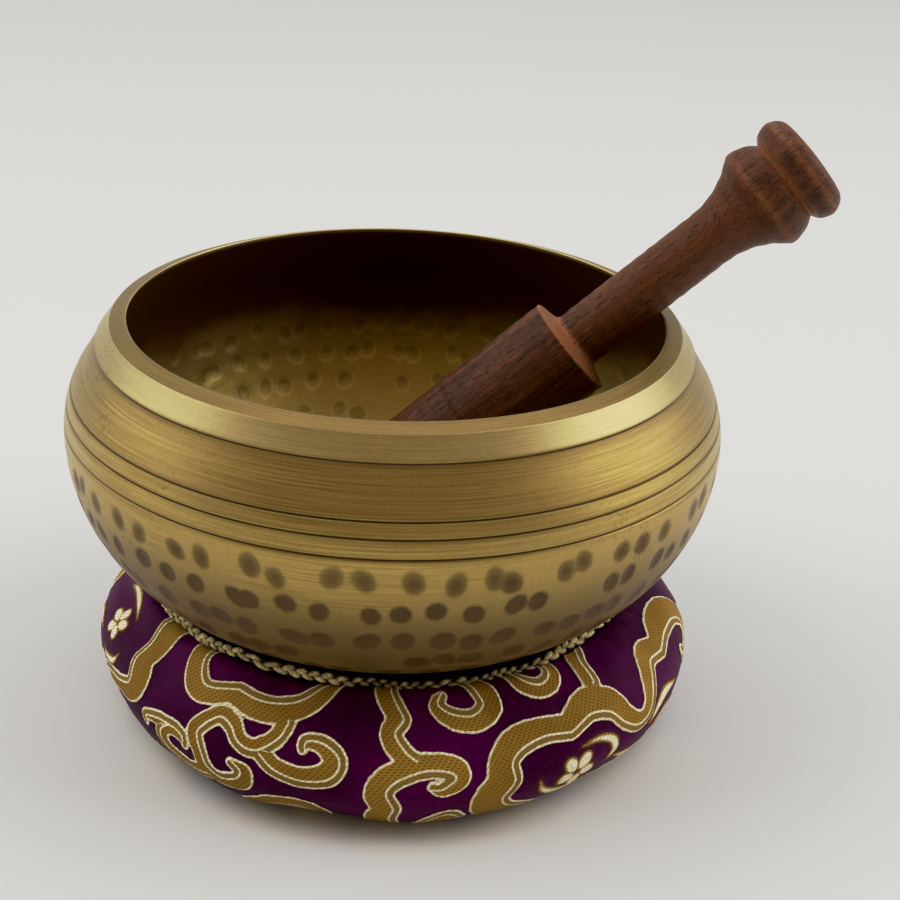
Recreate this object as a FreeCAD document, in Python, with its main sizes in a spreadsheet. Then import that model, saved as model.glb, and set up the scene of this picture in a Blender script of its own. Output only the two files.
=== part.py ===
"""Singing bowl on a stuffed ring cushion, with its wooden mallet leaning on the rim.

Row frame, in millimetres: +Z up, the floor at Z = 0, the bowl's axis on the Z axis, and the
mallet leaning towards +X. Every outline is drawn in the XZ plane as radius and height.
"""

import FreeCAD
import Part
import Sketcher
import math
import os

# ---------------------------------------------------------------------------
# Driving dimensions: millimetres, degrees and counts
# ---------------------------------------------------------------------------
DIMENSIONS = {
    # bowl, spun from sheet bronze: heights are above the floor
    "rim_height": 100.0,
    "rim_fall": 0.7,
    "rim_rounding": 0.5,
    "belly_radius": 80.0,
    "belly_arc": 44.1,
    "base_height": 28.4,
    "shoulder_arc": 28.0,
    "shoulder_turn": 29.7,
    "wall_thickness": 3.8,
    # turned lines round the outside of the bowl
    "collar_line_height": 93.6,
    "upper_line_height": 83.0,
    "middle_line_height": 79.4,
    "lower_line_height": 75.1,
    "line_radius": 0.35,
    # hammer marks: rows of shallow round hollows below the lines, measured down from the belly
    "mark_ball_radius": 8.0,
    "mark_depth": 0.45,
    "mark_pitch": 8.3,
    "outside_rows": 4,
    "outside_first_row": 4.0,
    "outside_row_step": 12.0,
    "inside_rows": 3,
    "inside_first_row": 8.0,
    "inside_row_step": 12.0,
    # mallet, turned from one piece of rosewood: stations run along its axis from the foot
    "barrel_radius": 12.85,
    "barrel_length": 74.6,
    "foot_rounding": 1.6,
    "shoulder_chamfer": 0.9,
    "handle_radius": 7.15,
    "flare_start": 42.0,
    "flare_end": 56.8,
    "flare_radius": 13.2,
    "flare_arc": 21.2,
    "bead_arc": 9.5,
    "neck_station": 64.4,
    "neck_radius": 10.6,
    "knob_radius": 13.5,
    "knob_station": 69.2,
    "knob_arc": 5.0,
    "knob_end_station": 73.0,
    "knob_face_radius": 10.6,
    "knob_dome": 0.8,
    "mallet_azimuth": 5.56,
    "mallet_elevation": 40.62,
    "mallet_foot_x": -13.7,
    "mallet_foot_y": -1.2,
    "mallet_foot_z": 42.5,
    # ring cushion: a brocade cover outside, a plain lining under the bowl, stuffing between
    "crown_radius": 58.9,
    "crown_arc": 16.6,
    "side_height": 14.0,
    "seat_gap": 0.4,
    "seat_outer_radius": 53.0,
    "hole_radius": 36.0,
    "hole_rounding": 6.0,
    "cloth_thickness": 0.8,
    "lap_radius": 44.0,
    "trim_cord_radius": 1.5,
    "trim_ring_radius": 59.2,
    "trim_ring_height": 32.3,
}

document = FreeCAD.newDocument("singing_bowl")


def make_sheet(dimensions):
    """Write the driving dimensions into a spreadsheet, one row for each alias."""
    sheet = document.addObject("Spreadsheet::Sheet", "Sizes")
    for row, (alias, number) in enumerate(dimensions.items(), start=1):
        sheet.set("A%d" % row, alias)
        sheet.set("B%d" % row, str(number))
        sheet.setAlias("B%d" % row, alias)
    document.recompute()
    return sheet


sizes = make_sheet(DIMENSIONS)


class Length:
    """A number worked out from the sheet, kept with the expression that drives it."""

    def __init__(self, number, text):
        self.number = number
        self.text = text

    def __add__(self, other):
        other = as_length(other)
        return Length(self.number + other.number, "(%s + %s)" % (self.text, other.text))

    def __sub__(self, other):
        other = as_length(other)
        return Length(self.number - other.number, "(%s - %s)" % (self.text, other.text))

    def __mul__(self, other):
        other = as_length(other)
        return Length(self.number * other.number, "(%s * %s)" % (self.text, other.text))


def as_length(thing):
    """Take a plain number as a fixed length."""
    if isinstance(thing, Length):
        return thing
    return Length(float(thing), str(thing))


def size(alias):
    """The sheet's cell of that name."""
    return Length(float(sizes.get(alias)), "Sizes.%s" % alias)


def cosine(angle):
    return Length(math.cos(math.radians(angle.number)), "cos(%s * 1deg)" % angle.text)


def sine(angle):
    return Length(math.sin(math.radians(angle.number)), "sin(%s * 1deg)" % angle.text)


def tangent(angle):
    return Length(math.tan(math.radians(angle.number)), "tan(%s * 1deg)" % angle.text)


def root(square):
    return Length(math.sqrt(square.number), "sqrt(%s)" % square.text)


def leg(hypotenuse, other_leg):
    """The third side of a right-angled triangle."""
    return root(hypotenuse * hypotenuse - other_leg * other_leg)


# ---------------------------------------------------------------------------
# Sketch and feature helpers
# ---------------------------------------------------------------------------
START, END, CENTRE = 1, 2, 3
ORIGIN = -1
ZERO = as_length(0)


def origin_feature(body, role):
    """One of the body's own origin planes or axes."""
    return [item for item in body.Origin.OriginFeatures if item.Role == role][0]


def new_body(name):
    body = document.addObject("PartDesign::Body", name)
    body.Label = name
    return body


def new_sketch(body, name):
    """A sketch on the body's XZ plane: across is the radius, up is the height."""
    sketch = body.newObject("Sketcher::SketchObject", name)
    sketch.AttachmentSupport = [(origin_feature(body, "XZ_Plane"), "")]
    sketch.MapMode = "FlatFace"
    return sketch


def drive(sketch, kind, places, length):
    """Add one dimension to the sketch and bind it to the sheet."""
    number = sketch.addConstraint(Sketcher.Constraint(kind, *places, length.number))
    sketch.setExpression("Constraints[%d]" % number, length.text)


def pin_vertex(sketch, edge, end, point):
    """Hold an edge's end at a radius and a height."""
    for kind, length, level in (("DistanceX", point[0], "Vertical"), ("DistanceY", point[1], "Horizontal")):
        if length is ZERO:
            sketch.addConstraint(Sketcher.Constraint(level, ORIGIN, START, edge, end))
        else:
            drive(sketch, kind, (ORIGIN, START, edge, end), length)


def arc_between(start, end, radius, turn):
    """The short arc from start to end that bulges to the left (turn 1) or right (turn -1)."""
    first = FreeCAD.Vector(start[0].number, start[1].number, 0)
    last = FreeCAD.Vector(end[0].number, end[1].number, 0)
    chord = last - first
    half = chord.Length / 2
    rise = radius.number - math.sqrt(max(radius.number ** 2 - half ** 2, 0.0))
    left = FreeCAD.Vector(-chord.y, chord.x, 0).normalize()
    return Part.Arc(first, (first + last) / 2 + left * (turn * rise), last)


def draw_outline(sketch, start, steps):
    """Draw a closed outline. A step is a point, or a point with an arc's radius and turn."""
    here = start
    for number, step in enumerate(steps):
        there = step[:2]
        if len(step) == 2:
            first = FreeCAD.Vector(here[0].number, here[1].number, 0)
            last = FreeCAD.Vector(there[0].number, there[1].number, 0)
            sketch.addGeometry(Part.LineSegment(first, last), False)
            tail, head = START, END
        else:
            radius, turn = step[2:]
            sketch.addGeometry(arc_between(here, there, radius, turn), False)
            # a sketch keeps every arc anticlockwise, so one that turns right is stored reversed
            tail, head = (END, START) if turn > 0 else (START, END)
            drive(sketch, "Radius", (number,), radius)
        if number:
            sketch.addConstraint(Sketcher.Constraint("Coincident", number, tail, number - 1, previous_head))
        else:
            first_tail = tail
        pin_vertex(sketch, number, tail, here)
        previous_head = head
        here = there
    sketch.addConstraint(Sketcher.Constraint("Coincident", len(steps) - 1, previous_head, 0, first_tail))


def turn_solid(body, sketch, name):
    """Revolve a sketch a full turn about the body's own Z axis."""
    feature = body.newObject("PartDesign::Revolution", name)
    feature.Profile = sketch
    feature.ReferenceAxis = (origin_feature(body, "Z_Axis"), [""])
    feature.Angle = 360.0
    document.recompute()
    return feature


def turn_groove(body, sketch, name):
    """Cut a sketch a full turn about the body's own Z axis, and check that it cut."""
    before = body.Shape.Volume
    feature = body.newObject("PartDesign::Groove", name)
    feature.Profile = sketch
    feature.ReferenceAxis = (origin_feature(body, "Z_Axis"), [""])
    feature.Angle = 360.0
    document.recompute()
    if body.Shape.Volume >= before:
        raise RuntimeError("%s cuts nothing" % name)
    return feature


# ---------------------------------------------------------------------------
# Bowl
# ---------------------------------------------------------------------------
belly = size("belly_radius")
belly_arc = size("belly_arc")
base_height = size("base_height")
belly_height = base_height + belly_arc
shoulder_arc = size("shoulder_arc")
shoulder_turn = size("shoulder_turn")
wall = size("wall_thickness")


def shoulder_end(arc):
    """Where the shoulder's arc of that radius runs into the straight neck."""
    radius = belly - shoulder_arc + arc * cosine(shoulder_turn)
    return (radius, belly_height + arc * sine(shoulder_turn))


def neck_point(start, height):
    """The point of the straight neck at a height."""
    return (start[0] - (height - start[1]) * tangent(shoulder_turn), height)


def make_bowl():
    body = new_body("bowl")
    outer_shoulder = shoulder_end(shoulder_arc)
    inner_shoulder = shoulder_end(shoulder_arc - wall)
    rim_inside = neck_point(inner_shoulder, size("rim_height"))
    rim_outside = neck_point(outer_shoulder, size("rim_height") - size("rim_fall"))
    sketch = new_sketch(body, "bowl_outline")
    draw_outline(sketch, (ZERO, base_height), [
        (belly - belly_arc, base_height),
        (belly, belly_height, belly_arc, -1),
        outer_shoulder + (shoulder_arc, -1),
        rim_outside,
        rim_inside,
        inner_shoulder,
        (belly - wall, belly_height, shoulder_arc - wall, 1),
        (belly - belly_arc, base_height + wall, belly_arc - wall, 1),
        (ZERO, base_height + wall),
        (ZERO, base_height),
    ])
    turn_solid(body, sketch, "bowl_wall")
    cut_turned_lines(body, outer_shoulder)
    round_rim(body)
    ball = size("mark_ball_radius")
    reach = ball - size("mark_depth")
    cut_mark_rows(body, "outside", belly_arc + reach)
    cut_mark_rows(body, "inside", belly_arc - wall - reach)
    return body


def cut_turned_lines(body, outer_shoulder):
    """Three fine lines round the shoulder and one under the collar, each a round-bottomed groove."""
    sketch = new_sketch(body, "turned_line_sections")
    centres = [neck_point(outer_shoulder, size("collar_line_height"))]
    for alias in ("upper_line_height", "middle_line_height", "lower_line_height"):
        height = size(alias)
        centres.append((belly - shoulder_arc + leg(shoulder_arc, height - belly_height), height))
    for number, centre in enumerate(centres):
        middle = FreeCAD.Vector(centre[0].number, centre[1].number, 0)
        radius = size("line_radius")
        sketch.addGeometry(Part.Circle(middle, FreeCAD.Vector(0, 0, 1), radius.number), False)
        drive(sketch, "Radius", (number,), radius)
        pin_vertex(sketch, number, CENTRE, centre)
    turn_groove(body, sketch, "turned_lines")


def round_rim(body):
    """Break the two edges of the rim's top face."""
    rim_bottom = size("rim_height").number - 2 * size("rim_fall").number
    base = body.Tip
    edges = []
    for number, edge in enumerate(body.Shape.Edges, start=1):
        if edge.Closed and edge.BoundBox.ZMin > rim_bottom:
            edges.append("Edge%d" % number)
    fillet = body.newObject("PartDesign::Fillet", "rim_rounding")
    fillet.Base = (base, edges)
    fillet.setExpression("Radius", size("rim_rounding").text)
    document.recompute()


def cut_mark_rows(body, side, distance):
    """Rows of hammer marks, cut by balls whose centres are at a distance from the belly's centre."""
    for row in range(int(size(side + "_rows").number)):
        angle = size(side + "_first_row") + size(side + "_row_step") * row
        radius = belly - belly_arc + distance * cosine(angle)
        before = body.Shape.Volume
        ball = body.newObject("PartDesign::SubtractiveSphere", "%s_mark_%d" % (side, row + 1))
        ball.setExpression("Radius", size("mark_ball_radius").text)
        ball.setExpression("Placement.Base.x", radius.text)
        ball.setExpression("Placement.Base.z", (belly_height - distance * sine(angle)).text)
        document.recompute()
        pattern = body.newObject("PartDesign::PolarPattern", "%s_row_%d" % (side, row + 1))
        pattern.Originals = [ball]
        pattern.Axis = (origin_feature(body, "Z_Axis"), [""])
        pattern.Angle = 360.0
        pattern.Occurrences = int(2 * math.pi * radius.number / size("mark_pitch").number)
        body.Tip = pattern
        document.recompute()
        if body.Shape.Volume >= before:
            raise RuntimeError("%s cuts nothing" % pattern.Label)


# ---------------------------------------------------------------------------
# Mallet
# ---------------------------------------------------------------------------
def make_mallet():
    """A turned mallet: barrel, slim handle, flare, bead and rounded knob, as one solid."""
    body = new_body("mallet")
    barrel = size("barrel_radius")
    step = size("barrel_length")
    foot = size("foot_rounding")
    chamfer = size("shoulder_chamfer")
    handle = size("handle_radius")
    neck = size("neck_radius")
    sketch = new_sketch(body, "mallet_outline")
    draw_outline(sketch, (ZERO, ZERO), [
        (barrel - foot, ZERO),
        (barrel, foot, foot, -1),
        (barrel, step - chamfer),
        (barrel - chamfer, step),
        (handle, step + chamfer),
        (handle, step + size("flare_start")),
        (size("flare_radius"), step + size("flare_end"), size("flare_arc"), 1),
        (neck, step + size("neck_station"), size("bead_arc"), -1),
        (size("knob_radius"), step + size("knob_station"), size("knob_arc"), -1),
        (size("knob_face_radius"), step + size("knob_end_station"), size("knob_arc"), -1),
        (ZERO, step + size("knob_end_station") + size("knob_dome")),
        (ZERO, ZERO),
    ])
    turn_solid(body, sketch, "mallet_turning")
    lean = FreeCAD.Rotation(
        FreeCAD.Vector(0, 0, 1), size("mallet_azimuth").number
    ).multiply(FreeCAD.Rotation(FreeCAD.Vector(0, 1, 0), 90.0 - size("mallet_elevation").number))
    foot_place = [size("mallet_foot_" + axis).number for axis in "xyz"]
    body.Placement = FreeCAD.Placement(FreeCAD.Vector(*foot_place), lean)
    return body


# ---------------------------------------------------------------------------
# Ring cushion
# ---------------------------------------------------------------------------
crown = size("crown_radius")
crown_arc = size("crown_arc")
side_height = size("side_height")
crown_height = side_height + crown_arc
cloth = size("cloth_thickness")
hole = size("hole_radius")
hole_rounding = size("hole_rounding")
seat_arc = belly_arc + size("seat_gap")
belly_centre = belly - belly_arc
lap = size("lap_radius")


def seat_point(radius, depth):
    """A point under the bowl, depth below the cushion's seat, on an arc about the belly's centre."""
    return (radius, belly_height - leg(seat_arc + depth, radius - belly_centre))


def make_cover():
    """The brocade outer panel: crown seam, round the side and under to the lap seam."""
    body = new_body("cushion_cover")
    side = crown + crown_arc
    inner_arc = crown_arc - cloth
    sketch = new_sketch(body, "cover_outline")
    draw_outline(sketch, (crown, crown_height), [
        (side, side_height, crown_arc, 1),
        (side - side_height, ZERO, side_height, 1),
        (lap, ZERO),
        (lap, cloth),
        (side - side_height, cloth),
        (side - cloth, side_height, side_height - cloth, -1),
        (crown, crown_height - cloth, inner_arc, -1),
        (crown, crown_height),
    ])
    turn_solid(body, sketch, "cover_panel")
    return body


def make_lining():
    """The plain inner panel: crown seam, in under the bowl, down the hole and out to the lap seam."""
    body = new_body("cushion_lining")
    seat_edge = size("seat_outer_radius")
    turn_in = hole + hole_rounding
    seat_top = seat_point(turn_in, ZERO)
    inner_rounding = hole_rounding - cloth
    sketch = new_sketch(body, "lining_outline")
    draw_outline(sketch, (crown, crown_height), [
        (crown, crown_height - cloth),
        seat_point(seat_edge, cloth),
        seat_point(turn_in, cloth) + (seat_arc + cloth, 1),
        (hole + cloth, seat_top[1] - hole_rounding, inner_rounding, -1),
        (hole + cloth, hole_rounding),
        (turn_in, cloth, inner_rounding, -1),
        (lap, cloth),
        (lap, ZERO),
        (turn_in, ZERO),
        (hole, hole_rounding, hole_rounding, 1),
        (hole, seat_top[1] - hole_rounding),
        seat_top + (hole_rounding, 1),
        seat_point(seat_edge, ZERO) + (seat_arc, -1),
        (crown, crown_height),
    ])
    turn_solid(body, sketch, "lining_panel")
    return body


def make_stuffing():
    """The fibre filling, which fills the space between the cover and the lining."""
    body = new_body("cushion_stuffing")
    side = crown + crown_arc
    seat_edge = size("seat_outer_radius")
    turn_in = hole + hole_rounding
    inner_rounding = hole_rounding - cloth
    top_of_hole = seat_point(turn_in, ZERO)[1] - hole_rounding
    sketch = new_sketch(body, "stuffing_outline")
    draw_outline(sketch, (crown, crown_height - cloth), [
        (side - cloth, side_height, crown_arc - cloth, 1),
        (side - side_height, cloth, side_height - cloth, 1),
        (turn_in, cloth),
        (hole + cloth, hole_rounding, inner_rounding, 1),
        (hole + cloth, top_of_hole),
        seat_point(turn_in, cloth) + (inner_rounding, 1),
        seat_point(seat_edge, cloth) + (seat_arc + cloth, -1),
        (crown, crown_height - cloth),
    ])
    turn_solid(body, sketch, "stuffing_ring")
    return body


def make_trim_cord():
    """The twisted cord sewn over the crown seam, at the size round its strands."""
    ring = document.addObject("Part::Torus", "trim_cord")
    ring.Label = "trim_cord"
    ring.setExpression("Radius1", size("trim_ring_radius").text)
    ring.setExpression("Radius2", size("trim_cord_radius").text)
    ring.Placement = FreeCAD.Placement(
        FreeCAD.Vector(0, 0, size("trim_ring_height").number), FreeCAD.Rotation())
    return ring


# ---------------------------------------------------------------------------
# Build, check and write
# ---------------------------------------------------------------------------
def check_document(pieces):
    """Stop if any feature failed or any piece isn't one valid solid."""
    for item in document.Objects:
        if "Invalid" in item.State or "Error" in item.State:
            raise RuntimeError("%s failed: %s" % (item.Label, item.State))
    for piece in pieces:
        shape = piece.Shape
        if shape.isNull() or not shape.isValid() or len(shape.Solids) != 1:
            raise RuntimeError("%s isn't one valid solid" % piece.Label)


def write_pieces(pieces):
    os.makedirs("parts", exist_ok=True)
    for piece in pieces:
        piece.Shape.exportStep("parts/%s.step" % piece.Label)
        print("%-18s %9.1f mm3" % (piece.Label, piece.Shape.Volume))


pieces = [
    make_bowl(),
    make_mallet(),
    make_cover(),
    make_lining(),
    make_stuffing(),
    make_trim_cord(),
]
document.recompute()
check_document(pieces)
write_pieces(pieces)
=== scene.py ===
import math
import random

import bmesh
import bpy
import numpy as np
from mathutils import Matrix, Vector


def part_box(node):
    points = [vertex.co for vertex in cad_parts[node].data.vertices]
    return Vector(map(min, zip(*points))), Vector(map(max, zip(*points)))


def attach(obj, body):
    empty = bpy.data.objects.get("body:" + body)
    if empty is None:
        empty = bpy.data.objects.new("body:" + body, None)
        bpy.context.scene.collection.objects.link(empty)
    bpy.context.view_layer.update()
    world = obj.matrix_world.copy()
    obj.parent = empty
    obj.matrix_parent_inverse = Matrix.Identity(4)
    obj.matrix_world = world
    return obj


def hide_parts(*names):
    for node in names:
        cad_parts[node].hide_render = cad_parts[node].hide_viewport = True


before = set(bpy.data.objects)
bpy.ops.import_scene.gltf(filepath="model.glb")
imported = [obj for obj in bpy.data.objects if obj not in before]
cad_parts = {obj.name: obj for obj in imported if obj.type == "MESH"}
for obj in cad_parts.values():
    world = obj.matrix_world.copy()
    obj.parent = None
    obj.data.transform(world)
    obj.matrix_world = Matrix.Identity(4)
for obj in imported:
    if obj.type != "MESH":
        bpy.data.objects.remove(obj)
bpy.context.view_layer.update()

# Looks for a hammered singing bowl on a brocade ring cushion, with its rosewood mallet.
# Lengths below are millimetres in the part's frame, turned to metres where a mesh is made.
MM = 0.001
SEED = 7

# bowl, as the CAD has it
BASE_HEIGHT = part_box("bowl")[0].z / MM
BELLY_RADIUS = 80.0
BELLY_ARC = 44.1
BELLY_HEIGHT = BASE_HEIGHT + BELLY_ARC
BELLY_CENTRE = BELLY_RADIUS - BELLY_ARC
SHOULDER_ARC = 28.0
SHOULDER_TURN = math.radians(29.7)
WALL = 3.8
RIM_HEIGHT = 100.0
RIM_FALL = 0.7
RIM_ROUNDING = 0.38
COLLAR_LINE = 93.6
TURNED_LINES = (75.1, 79.4, 83.0)
LINE_RADIUS = 0.30
LINE_DEPTH = 0.32
COLLAR_STEP = 0.42
COLLAR_LEAN = 0.7
BOWL_COLUMNS = 440

# mallet: stations run from its foot along its axis, and from FLARE_START on they are past the barrel
BARREL_RADIUS = 12.85
BARREL_LENGTH = 74.6
HANDLE_RADIUS = 7.15
FOOT_ROUNDING = 1.6
BARREL_BREAK = 0.4
CONE_WIDTH, CONE_RISE = 1.3, 1.1
CONE_FILLET = 1.5
FLARE_START, FLARE_END, FLARE_RADIUS, FLARE_ARC = 42.0, 56.8, 13.2, 21.2
BEAD_ARC = 9.5
NECK_STATION, NECK_RADIUS = 64.4, 10.6
KNOB_STATION, KNOB_RADIUS, KNOB_ARC = 69.2, 13.5, 5.0
KNOB_END, KNOB_FACE_RADIUS, KNOB_DOME, KNOB_DOME_ARC = 73.0, 10.6, 0.8, 71.0
SCORE_STATIONS = ((40.6, 0.35, 1.0), (43.2, 0.3, 0.7))
TOOLING = 0.022
MALLET_FOOT = Vector((-13.7, -1.2, 42.5))
MALLET_AZIMUTH = math.radians(5.56)
MALLET_ELEVATION = math.radians(40.62)

# ring cushion
CROWN_RADIUS = 58.9
CROWN_ARC = 16.6
SIDE_HEIGHT = 14.0
SIDE_RADIUS = CROWN_RADIUS + CROWN_ARC
CROWN_HEIGHT = SIDE_HEIGHT + CROWN_ARC
HOLE_RADIUS = 36.0
HOLE_ROUNDING = 6.0
SEAT_GAP = 0.4
SEAT_OUTER_RADIUS = 53.0
CLOTH = 0.8
LAP_RADIUS = 44.0
TRIM_RING_RADIUS = 59.2
TRIM_RING_HEIGHT = 32.3


# ---------------------------------------------------------------------------
# Outlines: arrays of (radius, height), thickly sampled, and meshes turned from them
# ---------------------------------------------------------------------------
DENSE = 0.05
NORMAL_REACH = 0.15


def line(start, end):
    count = max(2, int(math.dist(start, end) / DENSE))
    return np.linspace(start, end, count)


def arc(centre, radius, start, end):
    """Points round a centre, between two angles in radians."""
    count = max(2, int(abs(end - start) * radius / DENSE))
    angles = np.linspace(start, end, count)
    return np.column_stack([centre[0] + radius * np.cos(angles), centre[1] + radius * np.sin(angles)])


def arc_between(start, end, radius, turn):
    """The short arc from start to end that bulges to the left (turn 1) or right (turn -1)."""
    start, end = np.array(start, float), np.array(end, float)
    chord = end - start
    half = np.hypot(*chord) / 2
    left = np.array([-chord[1], chord[0]]) / (2 * half)
    centre = (start + end) / 2 - left * turn * math.sqrt(max(radius ** 2 - half ** 2, 0.0))
    first = math.atan2(*(start - centre)[::-1])
    last = math.atan2(*(end - centre)[::-1])
    sweep = (last - first + math.pi) % (2 * math.pi) - math.pi
    return arc(centre, radius, first, first + sweep)


class Section:
    """An outline measured by the length run along it."""

    def __init__(self, *pieces):
        points = np.vstack(pieces)
        step = np.hypot(*np.diff(points, axis=0).T)
        keep = np.concatenate([[True], step > 1e-9])
        self.points = points[keep]
        self.run = np.concatenate([[0.0], np.cumsum(np.hypot(*np.diff(self.points, axis=0).T))])
        self.length = self.run[-1]

    def at(self, run):
        """Radius and height at a run, and the outline's left-hand normal there."""
        def point(where):
            where = np.clip(where, 0, self.length)
            return np.array([np.interp(where, self.run, self.points[:, axis]) for axis in (0, 1)])

        radius, height = point(run)
        across, up = point(run + NORMAL_REACH) - point(run - NORMAL_REACH)
        size = np.maximum(np.hypot(across, up), 1e-9)
        return radius, height, -up / size, across / size

    def run_at_height(self, height, low, high):
        """The run between low and high where the outline first passes a height."""
        window = (self.run >= low) & (self.run <= high)
        gap = np.abs(self.points[window, 1] - height)
        return self.run[window][gap.argmin()]


def stations(*zones):
    """Runs spaced evenly inside each (start, end, step) zone."""
    rows = [np.linspace(a, b, max(2, int(round((b - a) / step)) + 1)) for a, b, step in zones]
    return np.unique(np.round(np.concatenate(rows), 4))


def mesh_from_grid(name, grid, wrap_rows=False):
    """A closed mesh of quads from rows of points in millimetres; the columns close round a ring.

    Wrapped rows close into a tube. Otherwise the first and the last row each shrink to their mean
    point, with a fan of triangles.
    """
    rows, columns = grid.shape[:2]
    points = grid.reshape(-1, 3)
    index = np.arange(rows * columns).reshape(rows, columns)
    if wrap_rows:
        upper, lower = index, np.roll(index, -1, axis=0)
    else:
        upper, lower = index[1:-2], index[2:-1]
    faces = np.stack([upper, np.roll(upper, -1, axis=1), np.roll(lower, -1, axis=1), lower], axis=-1)
    faces = faces.reshape(-1, 4).tolist()
    if not wrap_rows:
        starts, ends = index[1], index[-2]
        for pole, first, second in ((index[0], np.roll(starts, -1), starts),
                                    (index[-1], ends, np.roll(ends, -1))):
            faces += [[int(pole[0]), int(a), int(b)] for a, b in zip(first, second)]
            points[pole] = points[pole].mean(0)
    mesh = bpy.data.meshes.new(name)
    mesh.from_pydata((points * MM).tolist(), [], faces)
    mesh.polygons.foreach_set("use_smooth", np.ones(len(mesh.polygons), bool))
    return mesh


def add_object(name, mesh, material, attributes=None):
    """Link a mesh as a piece, with its float attributes, and drop unused points."""
    for key, values in (attributes or {}).items():
        layer = mesh.attributes.new(key, "FLOAT", "POINT")
        layer.data.foreach_set("value", np.ascontiguousarray(values, np.float32).ravel())
    used = np.zeros(len(mesh.vertices), bool)
    corners = np.empty(len(mesh.loops), np.int32)
    mesh.loops.foreach_get("vertex_index", corners)
    used[corners] = True
    if not used.all():
        work = bmesh.new()
        work.from_mesh(mesh)
        work.verts.ensure_lookup_table()
        bmesh.ops.delete(work, geom=[work.verts[i] for i in np.flatnonzero(~used)], context="VERTS")
        work.to_mesh(mesh)
        work.free()
    mesh.update()
    piece = bpy.data.objects.new(name, mesh)
    bpy.context.scene.collection.objects.link(piece)
    mesh.materials.append(material)
    return piece


def around(columns):
    return np.linspace(0, 2 * math.pi, columns, endpoint=False)


def turn_points(radius, height, angles):
    """Rings of points from radii and heights, which may vary from column to column."""
    radius = np.broadcast_to(radius, (radius.shape[0], len(angles)))
    height = np.broadcast_to(height, radius.shape)
    return np.stack([radius * np.cos(angles), radius * np.sin(angles), height], axis=-1)


def smooth(value, low, high):
    """0 below low, 1 above high, and an S-curve between."""
    t = np.clip((value - low) / (high - low), 0, 1)
    return t * t * (3 - 2 * t)


def ripple(angles, waves, seed):
    """A gentle periodic wobble round the ring, made of a few sine waves: (count, height)."""
    draw = random.Random(seed)
    return sum(height * np.sin(count * angles + draw.uniform(0, 2 * math.pi)) for count, height in waves)


# ---------------------------------------------------------------------------
# Shader helpers
# ---------------------------------------------------------------------------
class Nodes:
    """A node tree, built by short calls that return output sockets."""

    def __init__(self, tree):
        self.nodes, self.links = tree.nodes, tree.links

    def set(self, socket, value):
        if isinstance(value, bpy.types.NodeSocket):
            self.links.new(value, socket)
        elif isinstance(value, tuple) and len(value) == 3 and socket.type == "RGBA":
            socket.default_value = value + (1.0,)
        else:
            socket.default_value = value

    def math(self, operation, first, second=0.0, clamp=False):
        node = self.nodes.new("ShaderNodeMath")
        node.operation = operation
        node.use_clamp = clamp
        self.set(node.inputs[0], first)
        self.set(node.inputs[1], second)
        return node.outputs[0]

    def add(self, first, second):
        return self.math("ADD", first, second)

    def times(self, first, second):
        return self.math("MULTIPLY", first, second)

    def remap(self, value, ends, results, curve="LINEAR"):
        node = self.nodes.new("ShaderNodeMapRange")
        node.interpolation_type = curve
        self.set(node.inputs["Value"], value)
        for name, number in zip(("From Min", "From Max", "To Min", "To Max"), ends + results):
            node.inputs[name].default_value = number
        return node.outputs[0]

    def step(self, value, low, high):
        """0 where value is at low and 1 where it is at high, smooth between; low may be above high."""
        if low > high:
            return self.remap(value, (high, low), (1.0, 0.0), "SMOOTHSTEP")
        return self.remap(value, (low, high), (0.0, 1.0), "SMOOTHSTEP")

    def scale(self, value, low, high):
        """Stretch a 0 to 1 value to run from low to high."""
        return self.remap(value, (0.0, 1.0), (low, high))

    def mix(self, factor, first, second):
        node = self.nodes.new("ShaderNodeMix")
        node.data_type = "RGBA"
        self.set(node.inputs["Factor"], factor)
        self.set(node.inputs[6], first)
        self.set(node.inputs[7], second)
        return node.outputs[2]

    def attribute(self, name):
        node = self.nodes.new("ShaderNodeAttribute")
        node.attribute_name = name
        return node.outputs["Fac"]

    def place(self):
        return self.nodes.new("ShaderNodeTexCoord").outputs["Object"]

    def split(self, vector):
        node = self.nodes.new("ShaderNodeSeparateXYZ")
        self.set(node.inputs[0], vector)
        return node.outputs

    def vector(self, x, y, z):
        node = self.nodes.new("ShaderNodeCombineXYZ")
        for socket, value in zip(node.inputs, (x, y, z)):
            self.set(socket, value)
        return node.outputs[0]

    def noise(self, vector, scale, detail=3.0, roughness=0.5, distortion=0.0):
        node = self.nodes.new("ShaderNodeTexNoise")
        self.set(node.inputs["Vector"], vector)
        for name, number in zip(("Scale", "Detail", "Roughness", "Distortion"),
                                (scale, detail, roughness, distortion)):
            node.inputs[name].default_value = number
        return node.outputs[0]

    def bump(self, height, distance, strength):
        node = self.nodes.new("ShaderNodeBump")
        node.inputs["Distance"].default_value = distance
        node.inputs["Strength"].default_value = strength
        self.set(node.inputs["Height"], height)
        return node.outputs[0]


class Shader(Nodes):
    """One material's node tree."""

    def __init__(self, name):
        self.material = bpy.data.materials.new(name)
        self.material.use_nodes = True
        super().__init__(self.material.node_tree)
        self.surface = self.nodes["Principled BSDF"]

    def finish_with(self, **inputs):
        """Set the surface's sockets: names are the socket names with _ for a space."""
        for key, value in inputs.items():
            self.set(self.surface.inputs[key.replace("_", " ")], value)
        return self.material


# ---------------------------------------------------------------------------
# Bowl
# ---------------------------------------------------------------------------
def shoulder_end(radius):
    return (BELLY_RADIUS - SHOULDER_ARC + radius * math.cos(SHOULDER_TURN),
            BELLY_HEIGHT + radius * math.sin(SHOULDER_TURN))


def neck_point(start, height):
    return (start[0] - (height - start[1]) * math.tan(SHOULDER_TURN), height)


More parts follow.
